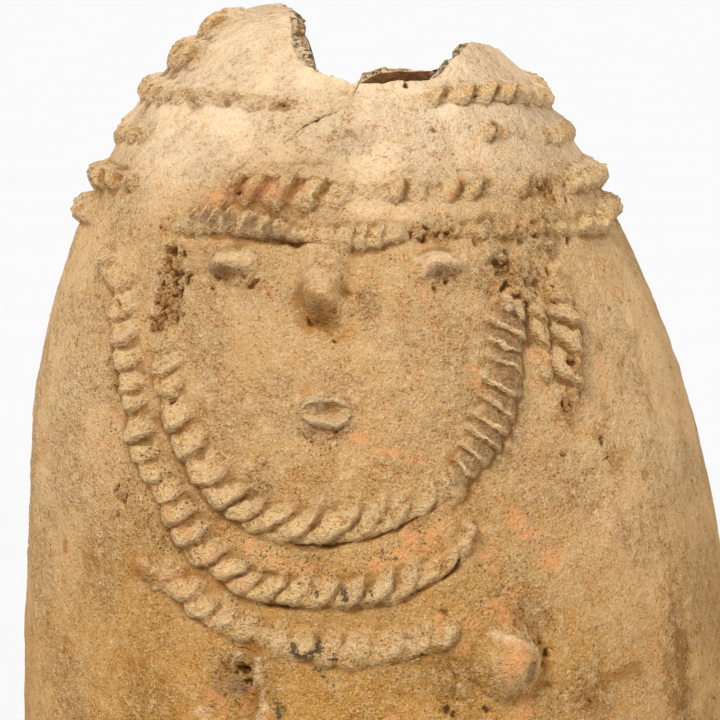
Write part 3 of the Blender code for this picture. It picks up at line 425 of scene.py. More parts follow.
# Bearing and height of the peak, half width, reach above and below, proud,
# and how much the right end is higher.
EYES = ((-16.7, 445.4, 10.8, 7.2, 12.5, 7.1, 0.13), (23.8, 444.8, 11.8, 6.6, 14.0, 7.5, -0.07))
NOSE = (0.9, 433.6, 20.5, 13.5, 11.2)     # tip, reach up and down, proud
MOUTH = (1.1, 387.6, 10.4, 6.4)
BREAST = (26.4, 284.4, 17.0, 17.5, 10.4)
STUB = (16.0, 278.5, 8.0, 7.0, 1.8)
LOST_BREAST = (-14.6, 273.5, 15.0, 14.0, 1.8)


# ------------------------------------------------------------------- helpers
def smooth_through(table):
    """Monotone cubic through a table's first two columns."""
    x = np.array([row[0] for row in table], float)
    y = np.array([row[1] for row in table], float)
    h = np.diff(x)
    d = np.diff(y) / h
    m = np.zeros_like(y)
    m[0], m[-1] = d[0], d[-1]
    for i in range(1, len(x) - 1):
        if d[i - 1] * d[i] > 0:
            a, b = 2 * h[i] + h[i - 1], h[i] + 2 * h[i - 1]
            m[i] = (a + b) / (a / d[i - 1] + b / d[i])

    def at(q):
        q = np.clip(np.asarray(q, float), x[0], x[-1])
        i = np.clip(np.searchsorted(x, q) - 1, 0, len(h) - 1)
        u = (q - x[i]) / h[i]
        return ((2 * u**3 - 3 * u**2 + 1) * y[i] + (u**3 - 2 * u**2 + u) * h[i] * m[i]
                + (3 * u**2 - 2 * u**3) * y[i + 1] + (u**3 - u**2) * h[i] * m[i + 1])

    return at


def around(table):
    rows = sorted(table)
    return smooth_through([(a - 360, v) for a, v in rows] + rows
                          + [(a + 360, v) for a, v in rows])


radius_at = smooth_through([(z, r) for z, r, _ in SECTION])
lean_at = smooth_through([(z, c) for z, _, c in SECTION])
_Z = np.linspace(0.0, SECTION[-1][0], 4000)
_R = radius_at(_Z)
_T = np.concatenate([[0], np.cumsum(np.hypot(np.diff(_Z), np.diff(_R)))])
_SLOPE_R = np.gradient(_R, _T)
_SLOPE_Z = np.gradient(_Z, _T)


def along(z):
    """Length along the wall's section up to height z."""
    return np.interp(z, _Z, _T)


def along_mm(z):
    return along(np.asarray(z, float) * 1e-3)


def height(t):
    return np.interp(t, _T, _Z)


def reach(t):
    return np.interp(t, _T, _R)


def along_from_reach(r):
    top = _Z > 0.45
    return np.interp(-np.asarray(r), -_R[top], _T[top])


def wrap(a):
    return (a + 180.0) % 360.0 - 180.0


def smoothstep(x):
    x = np.clip(x, 0.0, 1.0)
    return x * x * (3 - 2 * x)


def place(bearing, t, stand_off):
    """Points on the wall, pushed out along its own slope by stand_off."""
    turn = np.radians(bearing)
    r, z = reach(t), height(t)
    nr, nz = np.interp(t, _T, _SLOPE_Z), -np.interp(t, _T, _SLOPE_R)
    r, z = r + nr * stand_off, z + nz * stand_off
    return np.stack([lean_at(z) + r * np.sin(turn), -r * np.cos(turn), z], -1)


def locate(points):
    """The reverse of place: bearing, section length and stand-off."""
    x, y, z = points.T
    lean = lean_at(z)
    bearing = np.degrees(np.arctan2(x - lean, -y))
    rho = np.hypot(x - lean, y)
    pick = np.linspace(0, len(_T) - 1, 900).astype(int)
    t = np.zeros(len(points))
    for s in range(0, len(points), 20000):
        part = slice(s, s + 20000)
        d = ((rho[part, None] - _R[pick]) ** 2 + (z[part, None] - _Z[pick]) ** 2)
        t[part] = _T[pick][d.argmin(1)]
    for _ in range(2):
        dr, dz = np.interp(t, _T, _SLOPE_R), np.interp(t, _T, _SLOPE_Z)
        t = t + (rho - reach(t)) * dr + (z - height(t)) * dz
        t = np.clip(t, 0, _T[-1])
    nr, nz = np.interp(t, _T, _SLOPE_Z), -np.interp(t, _T, _SLOPE_R)
    stand = (rho - reach(t)) * nr + (z - height(t)) * nz
    return bearing, t, stand


def corner_value(ix, iy, iz, seed):
    """A repeatable value from -1 to 1 at each corner of a lattice."""
    n = (ix * 374761393 + iy * 668265263 + iz * 1442695041 + seed * 1274126177) & 0xFFFFFFFF
    n = ((n ^ (n >> 13)) * 1274126177) & 0xFFFFFFFF
    n = n ^ (n >> 16)
    return n / 2147483647.5 - 1.0


def lumps(points, size, seed):
    """Smooth value noise with features of the given size, from -1 to 1."""
    q = points / size + 100.0
    base = np.floor(q).astype(np.int64)
    f = q - base
    f = f * f * f * (f * (6 * f - 15) + 10)
    x, y, z = base.T
    fx, fy, fz = f.T
    out = 0.0
    for dx in (0, 1):
        wx = fx if dx else 1 - fx
        for dy in (0, 1):
            wy = wx * (fy if dy else 1 - fy)
            for dz in (0, 1):
                out = out + corner_value(x + dx, y + dy, z + dz, seed) * wy * (fz if dz else 1 - fz)
    return out


def measured(bearing, t):
    r = reach((t[1:] + t[:-1]) / 2)
    step = np.hypot(np.radians(np.diff(bearing)) * r, np.diff(t))
    return bearing, t, np.concatenate([[0], np.cumsum(step)])


def beside(bearing, t, line):
    """Signed distance to the line's nearest point, and the run there."""
    a, lt, run = line
    off = np.full(bearing.shape, 1.0)
    at = np.zeros(bearing.shape)
    best = np.full(bearing.shape, 1.0)
    rad = np.radians(bearing)
    r = reach(t)
    for i in range(len(a) - 1):
        mr = float(reach((lt[i] + lt[i + 1]) / 2))
        x0 = (rad - math.radians(a[i])) * r
        y0 = t - lt[i]
        dx, dy = math.radians(a[i + 1] - a[i]) * mr, lt[i + 1] - lt[i]
        size = math.hypot(dx, dy) + 1e-12
        u = np.clip((x0 * dx + y0 * dy) / size**2, 0, 1)
        ex, ey = x0 - u * dx, y0 - u * dy
        d = np.hypot(ex, ey)
        closer = d < best
        best[closer] = d[closer]
        off[closer] = np.where(dx * ey - dy * ex > 0, d, -d)[closer]
        at[closer] = (run[i] + u * size)[closer]
    return off, at


def window(bearing, t, angles, heights_mm, spare_mm):
    """Which points lie near a set of places."""
    low, high = along_mm(min(heights_mm)), along_mm(max(heights_mm))
    spare = spare_mm * 1e-3
    turn = math.degrees(spare / 0.075) if max(heights_mm) > 500 else math.degrees(spare / 0.105)
    return np.nonzero((bearing > min(angles) - turn) & (bearing < max(angles) + turn)
                      & (t > low - spare) & (t < high + spare))[0]


def from_mid(bearing, t, a, z_mm):
    """Distance to the right of and above a place on the wall, in mm."""
    return np.radians(bearing - a) * reach(t) * 1e3, (t - along_mm(z_mm)) * 1e3


def through(values, where):
    """Smooth curve through evenly numbered values."""
    v = np.concatenate([[2 * values[0] - values[1]], values, [2 * values[-1] - values[-2]]])
    i = np.clip(np.floor(where).astype(int), 0, len(values) - 2)
    f = where - i
    p0, p1, p2, p3 = v[i], v[i + 1], v[i + 2], v[i + 3]
    return 0.5 * (2 * p1 + (p2 - p0) * f + (2 * p0 - 5 * p1 + 4 * p2 - p3) * f**2
                  + (3 * p1 - p0 - 3 * p2 + p3) * f**3)


# ------------------------------------------------------------ pinched strips
def pinch(u, steep, drop, knob, swell):
    """Crests at whole numbers. After a crest the clay drops off sharply and
    then rises slowly to the next, where the finger dragged it; a share above
    a half turns that round. A crimped strip has thin crests and hollow cells."""
    f = u - np.floor(u)
    if steep > 0.5:
        f, steep = 1 - f, 1 - steep
    if not knob:
        down = np.where(f < steep, np.sin(0.5 * np.pi * f / steep),
                        np.cos(0.5 * np.pi * (f - steep) / (1 - steep)))
        return 1 - drop * np.clip(down, 0, 1) ** 0.62
    sharp = np.clip(1 - f / steep, 0, 1) ** 1.9
    gentle = np.clip((f - steep) / (1 - steep), 0, 1) ** swell
    return 1 - drop * (1 - np.maximum(sharp, gentle))


class Strip:
    """One applied fillet, described by its crests."""

    def __init__(self, crests, proud, drop=0.78, steep=0.40, spare=1.3, seed=1,
                 knob=True, crisp=-1, ledge=0.0, lee_shade=0.5, cord_dirt_and_shade=0.0, bow=0.0, blend=1.16,
                 chalk_and_highlight=0.0, swell=0.62):
        self.swell = swell
        self.knob, self.crisp, self.ledge, self.lee_shade, self.cord_dirt_and_shade = knob, crisp, ledge, lee_shade, cord_dirt_and_shade
        self.bow, self.blend, self.chalk_and_highlight = bow, blend, chalk_and_highlight
        c = np.array(crests, float)
        n = len(c)
        oa, ia = c[:, 0], c[:, 2]
        ot, it = along_mm(c[:, 1]), along_mm(c[:, 3])
        self.keep, self.proud, self.drop, self.steep, self.seed = c[:, 4], proud * 1e-3, drop, steep, seed
        fine = np.linspace(0, n - 1, 5 * (n - 1) + 1)
        a, t = through((oa + ia) / 2, fine), through((ot + it) / 2, fine)
        self.line = measured(a, t)
        self.run = self.line[2][::5]
        r = reach(t)
        tx, ty = np.gradient(np.radians(a)) * r, np.gradient(t)
        size = np.hypot(tx, ty)
        tx, ty = (tx / size)[::5], (ty / size)[::5]
        vx, vy = np.radians(ia - oa) * reach((ot + it) / 2), it - ot
        wide = -vx * ty + vy * tx
        self.cot = np.clip((vx * tx + vy * ty) / np.maximum(wide, 1e-4), -1.2, 1.2)
        self.half = np.maximum(wide, 0.004) / 2 + spare * 1e-3
        self.index = np.arange(n, dtype=float)
        self.vary(seed)
        self.box = (a.min(), a.max(), t.min(), t.max())

    def vary(self, seed):
        """No two finger marks are quite alike."""
        rng = np.random.RandomState(100 + seed)
        n = len(self.index)
        self.tall = rng.uniform(0.68, 1.20, n)
        self.broad = rng.uniform(0.84, 1.14, n)

    def near(self, bearing, t):
        lo_a, hi_a, lo_t, hi_t = self.box
        turn = math.degrees(0.014 / float(reach(hi_t)))
        return np.nonzero((bearing > lo_a - turn) & (bearing < hi_a + turn)
                          & (t > lo_t - 0.014) & (t < hi_t + 0.014))[0]

    def shape(self, off, run):
        """Rise, crest number and how near the crest line a point is."""
        u = np.interp(run, self.run, self.index)
        for _ in range(3):
            cot = np.interp(u, self.index, self.cot)
            lean = run - off * cot
            u = np.interp(lean, self.run, self.index)
        half = np.interp(u, self.index, self.half) * np.interp(u, self.index, self.broad)
        keep = np.interp(u, self.index, self.keep)
        q = off / half * self.crisp
        v = u + self.bow * (np.clip(q, -1, 1) ** 2 - 0.4)
        ridge = pinch(v, self.steep, self.drop, self.knob, self.swell)
        if not self.ledge:
            # the finger sank deeper on the side that was smoothed on
            ridge = np.clip(1 - (1 - ridge) * np.clip(1 - 0.40 * q, 0.5, 1.3), 0, 1)
        else:
            ridge = np.maximum(ridge, self.ledge * smoothstep((-q - 0.18) / 0.40))
        crest = np.clip((ridge - 1 + self.drop) / self.drop, 0, 1)
        # one edge stands clear of the wall and the other was smoothed into it
        q = q / (0.78 + 0.36 * crest)
        clear = np.clip(1 - np.clip(q, 0, 2) ** 2.8, 0, 1) ** 0.8
        soft = np.clip(1 - (np.clip(-q, 0, 3) / self.blend) ** 1.7, 0, 1) ** 1.25
        across = np.where(q > 0, clear, soft)
        rise = self.proud * keep * ridge * across * np.interp(u, self.index, self.tall)
        cell = keep * np.clip(1.25 - np.abs(q), 0, 1)
        if self.ledge:
            cell = cell * (1 - 0.8 * smoothstep((-q - 0.30) / 0.30))
        count = -v if self.steep > 0.5 else v
        edge = np.exp(-((q - 1.04) / 0.13) ** 2) * keep
        return rise, crest**2 * across * keep, edge, cell, count, np.abs(q)


class RowStrip(Strip):
    """A strip that runs round the head at one height."""

    def __init__(self, row, seed):
        r = float(radius_at(row["z"] * 1e-3))
        step = math.degrees(row["pitch"] * 1e-3 / r)
        rows = [list(c) for c in row["seen"]]
        low, top = row["z"] - row["wide"] / 2, row["z"] + row["wide"] / 2
        lean = row["lean"]
        start = (rows[-1][0] if rows else -180.0) + step
        stop = (rows[0][0] if rows else 180.0) + (360 if rows else 0)
        count = max(int(round((stop - start) / step)), 1)
        for k in range(count):
            a = start + (stop - start) * k / count
            a += step * 0.10 * math.sin(2.7 * k + seed)
            where = wrap(a)
            keep = float(np.interp(where, [s[0] for s in row["left"]], [s[1] for s in row["left"]]))
            worn = 0.90 + 0.10 * math.sin(1.9 * k + 2 * seed)
            rows.append([a, low + 0.5 * math.sin(1.3 * k), a + lean * 0.5 * (1 + 0.3 * math.sin(3.1 * k)),
                         top + 0.5 * math.sin(2.2 * k + 1), keep * worn])
        whole = []
        for turn in (-360, 0, 360):
            whole += [[c[0] + turn, c[1], c[2] + turn, c[3], c[4]] for c in rows]
        whole = [c for c in sorted(whole) if -200 < c[0] < 200]
        super().__init__(whole, row["proud"], seed=seed + 11, **row["form"])
        self.radius = r
        self.run = np.radians([(c[0] + c[2]) / 2 for c in whole]) * r
        self.mid_a = np.array([(c[0] + c[2]) / 2 for c in whole])
        self.mid_t = np.array([float(along_mm((c[1] + c[3]) / 2)) for c in whole])
        dt = np.array([float(along_mm(c[3]) - along_mm(c[1])) for c in whole])
        self.cot = np.array([math.radians(c[2] - c[0]) * r for c in whole]) / dt
        self.half = dt / 2 + 0.0006

    def near(self, bearing, t):
        mid = self.mid_t.mean()
        return np.nonzero(np.abs(t - mid) < 0.013)[0]

    def measure(self, bearing, t):
        return t - np.interp(bearing, self.mid_a, self.mid_t), np.radians(bearing) * self.radius


STRIPS = (
    Strip(FACE_FRAME_CRESTS[:16], 6.1, steep=0.22, drop=0.74, seed=1, lee_shade=0.55, spare=1.9, bow=0.20),
    Strip(FACE_FRAME_CRESTS[15:], 5.8, steep=0.80, drop=0.50, seed=2, lee_shade=0.5, cord_dirt_and_shade=1.0, bow=-0.05, chalk_and_highlight=0.9),
    Strip(NECKLACE_CRESTS, 6.0, steep=0.22, drop=0.72, seed=3, lee_shade=0.55, spare=1.7, bow=0.16),
    Strip(THIRD_CRESTS, 4.9, steep=0.24, drop=0.66, seed=4, lee_shade=0.45, spare=1.7, bow=0.12),
    Strip(EAR_STRAND_CRESTS, 5.0, steep=0.76, drop=0.76, seed=5, lee_shade=0.8, spare=2.2, bow=-0.15),
    Strip(SIDE_STRAND_CRESTS, 5.8, steep=0.76, drop=0.76, seed=6, lee_shade=0.9, spare=2.2, bow=-0.15),
) + tuple(RowStrip(row, n) for n, row in enumerate(HEAD_ROWS))


def pellet(x, y, w, h, proud, power=0.6):
    return proud * 1e-3 * np.clip(1 - (x / w) ** 2 - (y / h) ** 2, 0, 1) ** power


def face(bearing, t, shift):
    """Eyes, nose and mouth, with outlines shaken by shift (two rows, mm)."""
    rise = np.zeros(bearing.shape)
    # Each eye is a pellet with a rounded top shelf and a long sloping underside.
    for a, z, w, top, foot, proud, tilt in EYES:
        x, y = from_mid(bearing, t, a, z)
        x, y = x + 1.3 * shift[0], y + 1.1 * shift[1] + 0.030 * x * x - tilt * x
        above = np.clip(1 - (np.clip(y, 0, 99) / (top * 1.15)) ** 1.8, 0, 1) ** 1.25
        low = np.clip(-y, 0, 99)
        below = 0.52 * (1 - smoothstep(low / 4.2)) + 0.48 * np.clip(1 - low / foot, 0, 1) ** 1.2
        wide = w * 1.12 * (1 - 0.50 * np.clip(low / foot, 0, 1))
        side = np.clip(1 - np.abs(x / wide) ** 2.2, 0, 1) ** 1.25
        rise = np.maximum(rise, proud * 1e-3 * side * np.where(y > 0, above, below))
    # The nose: a broad soft ridge that grows out of the brow to its tip, and a
    # rough underside that runs back to the wall.
    x, y = from_mid(bearing, t, NOSE[0], NOSE[1])
    x, y = x + 1.2 * shift[0], y + 1.0 * shift[1]
    up = np.clip(y / NOSE[2], 0, 1)
    foot = NOSE[3] + 6 * smoothstep(x / 8)
    down = np.clip(-y / foot, 0, 1)
    tall = np.where(y > 0, 3.4 + (NOSE[4] - 3.4) * (1 - up) ** 1.1, NOSE[4] * (1 - smoothstep(down * 0.98)) ** 0.9)
    half = 7.2 + 2.4 * up + 0.2 * down
    ridge = np.exp(-(np.abs((x - 0.6 * up) / half) ** 3.2) * 1.3)
    wing = 1.7 * np.exp(-((x - 10.0) / 4.0) ** 2 - ((y + 7.0) / 6.0) ** 2)
    nose = (tall * ridge + wing) * (y < NOSE[2] + 4) * smoothstep((foot + 3 + y) / 6)
    rise = np.maximum(rise, nose * 1e-3)
    # The mouth: a low pad with a soft upper arch that overhangs a little, a
    # flat sunk lens, and a lower lip that ends in a sharp under-edge.
    x, y = from_mid(bearing, t, MOUTH[0], MOUTH[1])
    x, y = x + 0.9 * shift[0], y + 0.8 * shift[1] - 0.05 * x
    w, h = MOUTH[2:]
    bend = np.sqrt(np.clip(1 - (x / w) ** 2, 0.03, 1))
    v = y / (h * bend)
    lips = np.interp(v, (-1.9, -1.5, -1.22, -1.04, -0.82, -0.45, 0.10, 0.36, 0.50, 0.78, 1.10, 1.60, 2.2),
                     (0, 0.1, -0.45, 1.1, 3.1, 1.8, 0.70, 0.50, 1.75, 2.9, 2.1, 0.8, 0))
    ends = np.clip(1.12 - np.abs(x / (w + 0.5)) ** 3.5, 0, 1)
    pad = 0.9 * np.clip(1 - (x / (w + 5)) ** 2 - (y / (h + 5)) ** 2, 0, 1)
    mouth = (pad + lips * ends) * (np.hypot(x / (w + 5), y / (h + 7)) < 1)
    return rise + mouth * 1e-3


def lip_lines(bearing, t, shake):
    """Where on the lips a point is, -1 at the lower rim to 1 above the upper
    one, and how near the mouth."""
    x, y = from_mid(bearing, t, MOUTH[0], MOUTH[1])
    x, y = x + 900 * shake[0], y + 800 * shake[1] - 0.05 * x
    w, h = MOUTH[2:]
    bend = np.sqrt(np.clip(1 - (x / w) ** 2, 0.03, 1))
    near = np.clip(1.25 - np.abs(x / (w + 0.5)) ** 3, 0, 1) * (np.abs(y) < 16)
    return np.clip(y / (h * bend), -3, 3), near


def porous_holes():
    """Small holes strewn over the porous patches and thinly elsewhere."""
    rng = np.random.RandomState(27)
    out = []
    for a, z, w, h, count, _ in POROUS:
        for _ in range(count):
            d, turn = math.sqrt(rng.rand()) * 0.98, rng.rand() * 6.283
            r = 0.55 + 0.95 * rng.rand() ** 2
            dx = math.degrees(d * w * 1e-3 * math.cos(turn) / float(radius_at(z * 1e-3)))
            out.append((a + dx, z + d * h * math.sin(turn), r, r * (0.8 + 0.5 * rng.rand()), 0.55 + 0.4 * rng.rand()))
    for _ in range(230):
        a, z = rng.uniform(-72, 72), rng.uniform(258, 516)
        r = 0.40 + 0.50 * rng.rand() ** 3
        out.append((a, z, r, r * 0.8, 0.4 + 0.6 * rng.rand()))
    for _ in range(120):
        a, z = rng.uniform(-180, 180), rng.uniform(20, 500)
        r = 0.8 + 1.0 * rng.rand() ** 2
        out.append((a, z, r, r * 0.7, 0.4 + 0.5 * rng.rand()))
    return out


def wall_relief(bearing, t, shake):
    """Stand-off of the outer face, and what marks it, for flat arrays."""
    rise = np.zeros(bearing.shape)
    crest = np.zeros(bearing.shape)
    seam = np.zeros(bearing.shape)
    marks = {name: np.zeros(bearing.shape) for name in ("lee_shade", "cord_dirt_and_shade", "chalk_and_highlight", "cell", "count")}
    nearest = np.full(bearing.shape, 99.0)
    worn = 1 - 0.28 * smoothstep(0.25 + 1.2 * shake[2])
    for strip in STRIPS:
        sel = strip.near(bearing, t)
        if not len(sel):
            continue
        b, s = bearing[sel], t[sel]
        if isinstance(strip, RowStrip):
            off, run = strip.measure(b, s)
            chalk_and_highlight = strip.chalk_and_highlight * (0.25 + 0.75 * smoothstep((-2 - b) / 8))
        else:
            off, run = beside(b, s, strip.line)
            chalk_and_highlight = strip.chalk_and_highlight
        off, run = off + shake[0][sel], run + shake[1][sel]
        up, top, edge, cell, count, away = strip.shape(off, run)
        up = up * worn[sel]
        closer = away < nearest[sel]
        nearest[sel] = np.where(closer, away, nearest[sel])
        for name, v in (("cell", cell), ("count", count), ("lee_shade", cell * strip.lee_shade),
                        ("cord_dirt_and_shade", cell * strip.cord_dirt_and_shade), ("chalk_and_highlight", cell * chalk_and_highlight)):
            marks[name][sel] = np.where(closer, v, marks[name][sel])
        taller = up > rise[sel]
        rise[sel] = np.where(taller, up, rise[sel])
        crest[sel] = np.maximum(crest[sel], np.where(taller, top, 0))
        seam[sel] = np.maximum(seam[sel], edge)
    sel = window(bearing, t, (-24, 32), (368, 460), 4)
    up = face(bearing[sel], t[sel], (shake[0][sel] * 1e3, shake[1][sel] * 1e3))
    rise[sel] = np.where(up < 0, rise[sel] + up, np.maximum(rise[sel], up))
    for a, z, w, h, proud in (BREAST, STUB):
        sel = window(bearing, t, (a,), (z,), 20)
        x, y = from_mid(bearing[sel], t[sel], a, z)
        # full in the middle, with a soft foot where it was smoothed on
        dome = pellet(x, y, w, h, proud, 1.30)
        rise[sel] = np.maximum(rise[sel], dome)
    a, z, w, h, deep = LOST_BREAST
    sel = window(bearing, t, (a,), (z,), 30)
    x, y = from_mid(bearing[sel], t[sel], a, z)
    q = np.hypot(x / w, y / h)
    rise[sel] = rise[sel] + (0.9 * np.exp(-((q - 1.0) / 0.22) ** 2) - deep * np.exp(-q**4)) * 1e-3
    return rise, crest, seam, marks


def mark(bearing, t, table, out, wisp):
    """Adds strokes of closeness, 1 on the middle line and 0 well outside,
    with uneven edges."""
    for points, half, strength in table:
        angles, heights = [p[0] for p in points], [p[1] for p in points]
        sel = window(bearing, t, angles, heights, 3.4 * half + 1)
        if not len(sel):
            continue
        a, lt, run = measured(np.array(angles, float), along_mm(np.array(heights, float)))
        off, _ = beside(bearing[sel], t[sel], (a, lt, run))
        q = np.abs(off) * 1e3 / half + 0.9 * wisp[sel]
        out[sel] = np.maximum(out[sel], strength * smoothstep(1.16 - 0.5 * q))
    return out


# ------------------------------------------------------------------- the mesh
def columns():
    """Bearings, close together at the front and wider at the back."""
    close = 0.27
    far = 0.95
    out = [0.0]
    while out[-1] < 180:
        a = out[-1]
        step = close + (far - close) * float(smoothstep((a - 60) / 45))
        out.append(a + step)
    right = np.array(out) * 180.0 / out[-1]
    return np.concatenate([-right[1:][::-1], right[:-1]])


def thickness(t):
    return np.interp(t, along(np.array([0, 0.40, 0.51, 0.549])), [WALL, WALL, WALL_NECK, WALL_TOP])


def jagged(bearing, seed):
    """Unevenness of the broken edge, about +-1, round the mouth."""
    ring = np.stack([np.sin(np.radians(bearing)), np.cos(np.radians(bearing)),
                     np.full(bearing.shape, 0.1 * seed)], -1) * 0.07
    return (0.55 * lumps(ring, 0.011, seed) + 0.35 * lumps(ring, 0.0045, seed + 1)
            + 0.20 * lumps(ring, 0.0020, seed + 2))


def build_urn():
    bearing = columns()
    n = len(bearing)
    fine = 0.72e-3
    rim_out = along_from_reach(around(BREAK_OUT)(bearing)) + 0.0014 * jagged(bearing, 5)
    rim_in = along_from_reach(around(BREAK_IN)(bearing)) + 0.0014 * jagged(bearing, 9)
    foot, step_a, step_b = along(0.0) + 0.0012, along(0.256), along(0.5030)
    low_rows = 120
    low = foot + (step_a - foot) * np.linspace(0, 1, low_rows) ** 0.85
    mid = np.linspace(step_a, step_b, int((step_b - step_a) / fine))[1:]
    steps = np.concatenate([low, mid])
    rim_rows = 76
    share = np.arange(1, rim_rows + 1) / rim_rows
    upper = step_b + (rim_out[None, :] - step_b) * share[:, None]
    t_grid = np.concatenate([np.repeat(steps[:, None], n, 1), upper])
    b_grid = np.repeat(bearing[None, :], len(t_grid), 0)
    b, t = b_grid.ravel(), t_grid.ravel()
    plain = place(b, t, 0.0)
    shake = (0.00080 * lumps(plain, 0.0072, 61) + 0.00042 * lumps(plain, 0.0030, 62),
             0.00100 * lumps(plain, 0.0066, 63) + 0.00055 * lumps(plain, 0.0028, 64),
             lumps(plain, 0.0080, 65) + 0.5 * lumps(plain, 0.0034, 66))
    rise, crest, seam, applied = wall_relief(b, t, shake)

    # The hand-built wall: the same slow sway as the CAD body, then lumps,
    # wiping marks, grit and grain.
    turn = np.radians(b)
    sway = (0.0009 * np.sin(3 * turn + 9 * t) + 0.0007 * np.sin(5 * turn - 17 * t + 1)
            + 0.0005 * np.sin(8 * turn + 31 * t + 2)) * smoothstep(t / 0.10)
    strip_mask = np.clip(smoothstep(1.6 * applied["cell"]) + 0.30 * smoothstep(rise / 0.0015), 0, 1)
    seen = 0.25 + 0.75 * smoothstep((98 - np.abs(b)) / 25) * smoothstep((t - along(0.215)) / 0.03)
    drift = plain + 0.0050 * np.stack([lumps(plain, 0.012, 81), lumps(plain, 0.012, 82),
                                       lumps(plain, 0.012, 83)], -1)
    wipe = np.stack([drift[:, 0] * 0.66, drift[:, 1] * 0.66, drift[:, 2] - 0.40 * drift[:, 0]], -1)
    patchy = smoothstep(0.5 + 0.9 * lumps(plain, 0.022, 9) + 0.5 * lumps(plain, 0.0085, 10))
    flake = 0.55 - np.abs(lumps(wipe, 0.0040, 3))
    scale = 0.55 - np.abs(lumps(wipe, 0.0023, 12))
    skin = (0.00044 * lumps(plain, 0.034, 1) + 0.00034 * lumps(plain, 0.013, 2)
            + 0.00024 * lumps(plain, 0.0055, 4)
            + seen * (0.35 + 0.95 * patchy) * (0.00024 * flake + 0.00022 * scale + 0.00026 * lumps(plain, 0.0030, 5))
            + seen * 0.00016 * lumps(plain, 0.0016, 6))
    crumb = 0.5 - np.abs(lumps(plain, 0.0032, 8))
    skin = skin + strip_mask * (0.00040 * lumps(plain, 0.0056, 7) + 0.00062 * crumb
                                + 0.00022 * lumps(plain, 0.0019, 11))
    stand = rise + sway + skin

    # Seams, cracks, porous patches and holes.
    # dark: painted shade in the grooves, cracks and holes
    dark = np.zeros(b.shape)
    stand = stand - 0.00040 * seam * (0.4 + 0.9 * patchy)
    for k, (points, half, deep) in enumerate(GROOVES + CRACKS):
        angles, heights = [p[0] for p in points], [p[1] for p in points]
        sel = window(b, t, angles, heights, 4)
        line = measured(np.array(angles, float), along_mm(np.array(heights, float)))
        off, run = beside(b[sel], t[sel], line)
        wob = 1 + 0.5 * lumps(plain[sel], 0.006, 21)
        q = np.abs(off) * 1e3 / (half * wob)
        # a groove comes and goes, a crack runs on
        swing = lumps(plain[sel], 0.011, 22)
        swing = np.clip(0.60 + 1.1 * swing, 0.05, 1.2) if k < len(GROOVES) else np.clip(1.05 + 0.5 * swing, 0.8, 1.4)
        cut = np.exp(-(q**2)) * swing
        stand[sel] -= deep * 1e-3 * cut
        dark[sel] = np.maximum(dark[sel], np.clip(cut, 0, 1) * (min(1.0, 0.45 + 0.4 * deep) if k < len(GROOVES) else 0.80))
    scar = np.zeros(b.shape)
    crust = np.maximum(0.9 * strip_mask, 0.5 * patchy)
    rough = 0.5 * lumps(plain, 0.0052, 31) + 0.4 * lumps(plain, 0.0024, 32)
    for a, z, w, h, _, deep in POROUS:
        sel = window(b, t, (a,), (z,), 1.6 * max(w, h))
        x, y = from_mid(b[sel], t[sel], a, z)
        q = np.hypot(x / w, y / h) + 0.35 * lumps(plain[sel], 0.006, 33)
        m = smoothstep(1.6 - 1.1 * q)
        stand[sel] += m * (-deep * 0.6 + 0.9 * rough[sel] * min(1.0, deep)) * 1e-3
        scar[sel] = np.maximum(scar[sel], m * min(1.0, 0.35 + 0.5 * deep))
    for a, z, r, deep, strong in tuple(PITS) + tuple(porous_holes()):
        sel = window(b, t, (a,), (z,), 2.2 * r)
        if not len(sel):
            continue
        x, y = from_mid(b[sel], t[sel], a, z)
        bend = 1 + 0.35 * np.sin(2 * np.arctan2(y, x) + 7 * a) + 0.2 * np.sin(3 * np.arctan2(y, x) + z)
        q = np.hypot(x, y) / (r * bend.clip(0.55, 1.6))
        hole = smoothstep(1.45 - q)
        stand[sel] -= hole * deep * 1e-3
        dark[sel] = np.maximum(dark[sel], hole * strong)

    for a, z, w, h, deep in CRUSTS:
        sel = window(b, t, (a,), (z,), 1.5 * max(w, h))
        x, y = from_mid(b[sel], t[sel], a, z)
        q = np.hypot(x / w, y / h) + 0.3 * lumps(plain[sel], 0.007, 34)
        m = smoothstep(1.5 - q)
        stand[sel] += m * deep * 1e-3 * (0.8 * rough[sel] + 0.9 * (0.45 - np.abs(lumps(plain[sel], 0.0042, 35)))
                                         + 0.7 * lumps(plain[sel], 0.0085, 36))
        crust[sel] = np.maximum(crust[sel], m)

    marks = {"hollow": dark, "crest": crest, "scar": scar, "crust": crust, **applied}
    wisp = 0.55 * lumps(plain, 0.0085, 71) + 0.5 * lumps(plain, 0.0036, 72)
    for name, table in STROKES.items():
        if name == "pigment":
            table = [(points, 0.78 * half, strength) for points, half, strength in table]
        marks[name] = mark(b, t, table, np.zeros(b.shape), wisp * (0.5 if name == "pigment" else 1.0))
    marks["lip"], marks["lip_near"] = lip_lines(b, t, shake)

    # Height above the neighbourhood, for dust and a painted highlight on what stands proud, and earth and painted
    # shade in what lies low.
    shape = t_grid.shape
    s_grid = stand.reshape(shape)

    def spread(grid, rows, cols):
        c = np.cumsum(np.pad(grid, ((rows + 1, rows), (0, 0)), mode="edge"), 0)
        grid = (c[2 * rows + 1:] - c[:-2 * rows - 1]) / (2 * rows + 1)
        c = np.cumsum(np.pad(grid, ((0, 0), (cols + 1, cols)), mode="wrap"), 1)
        return (c[:, 2 * cols + 1:] - c[:, :-2 * cols - 1]) / (2 * cols + 1)

    k = 2
    small = spread(spread(s_grid, 2 * k, 2 * k), 2 * k, 2 * k)
    large = spread(spread(s_grid, 5 * k, 5 * k), 5 * k, 5 * k)
    marks["proud_small"] = ((s_grid - small) / 0.0010).ravel()
    marks["proud_large"] = ((s_grid - large) / 0.0022).ravel()

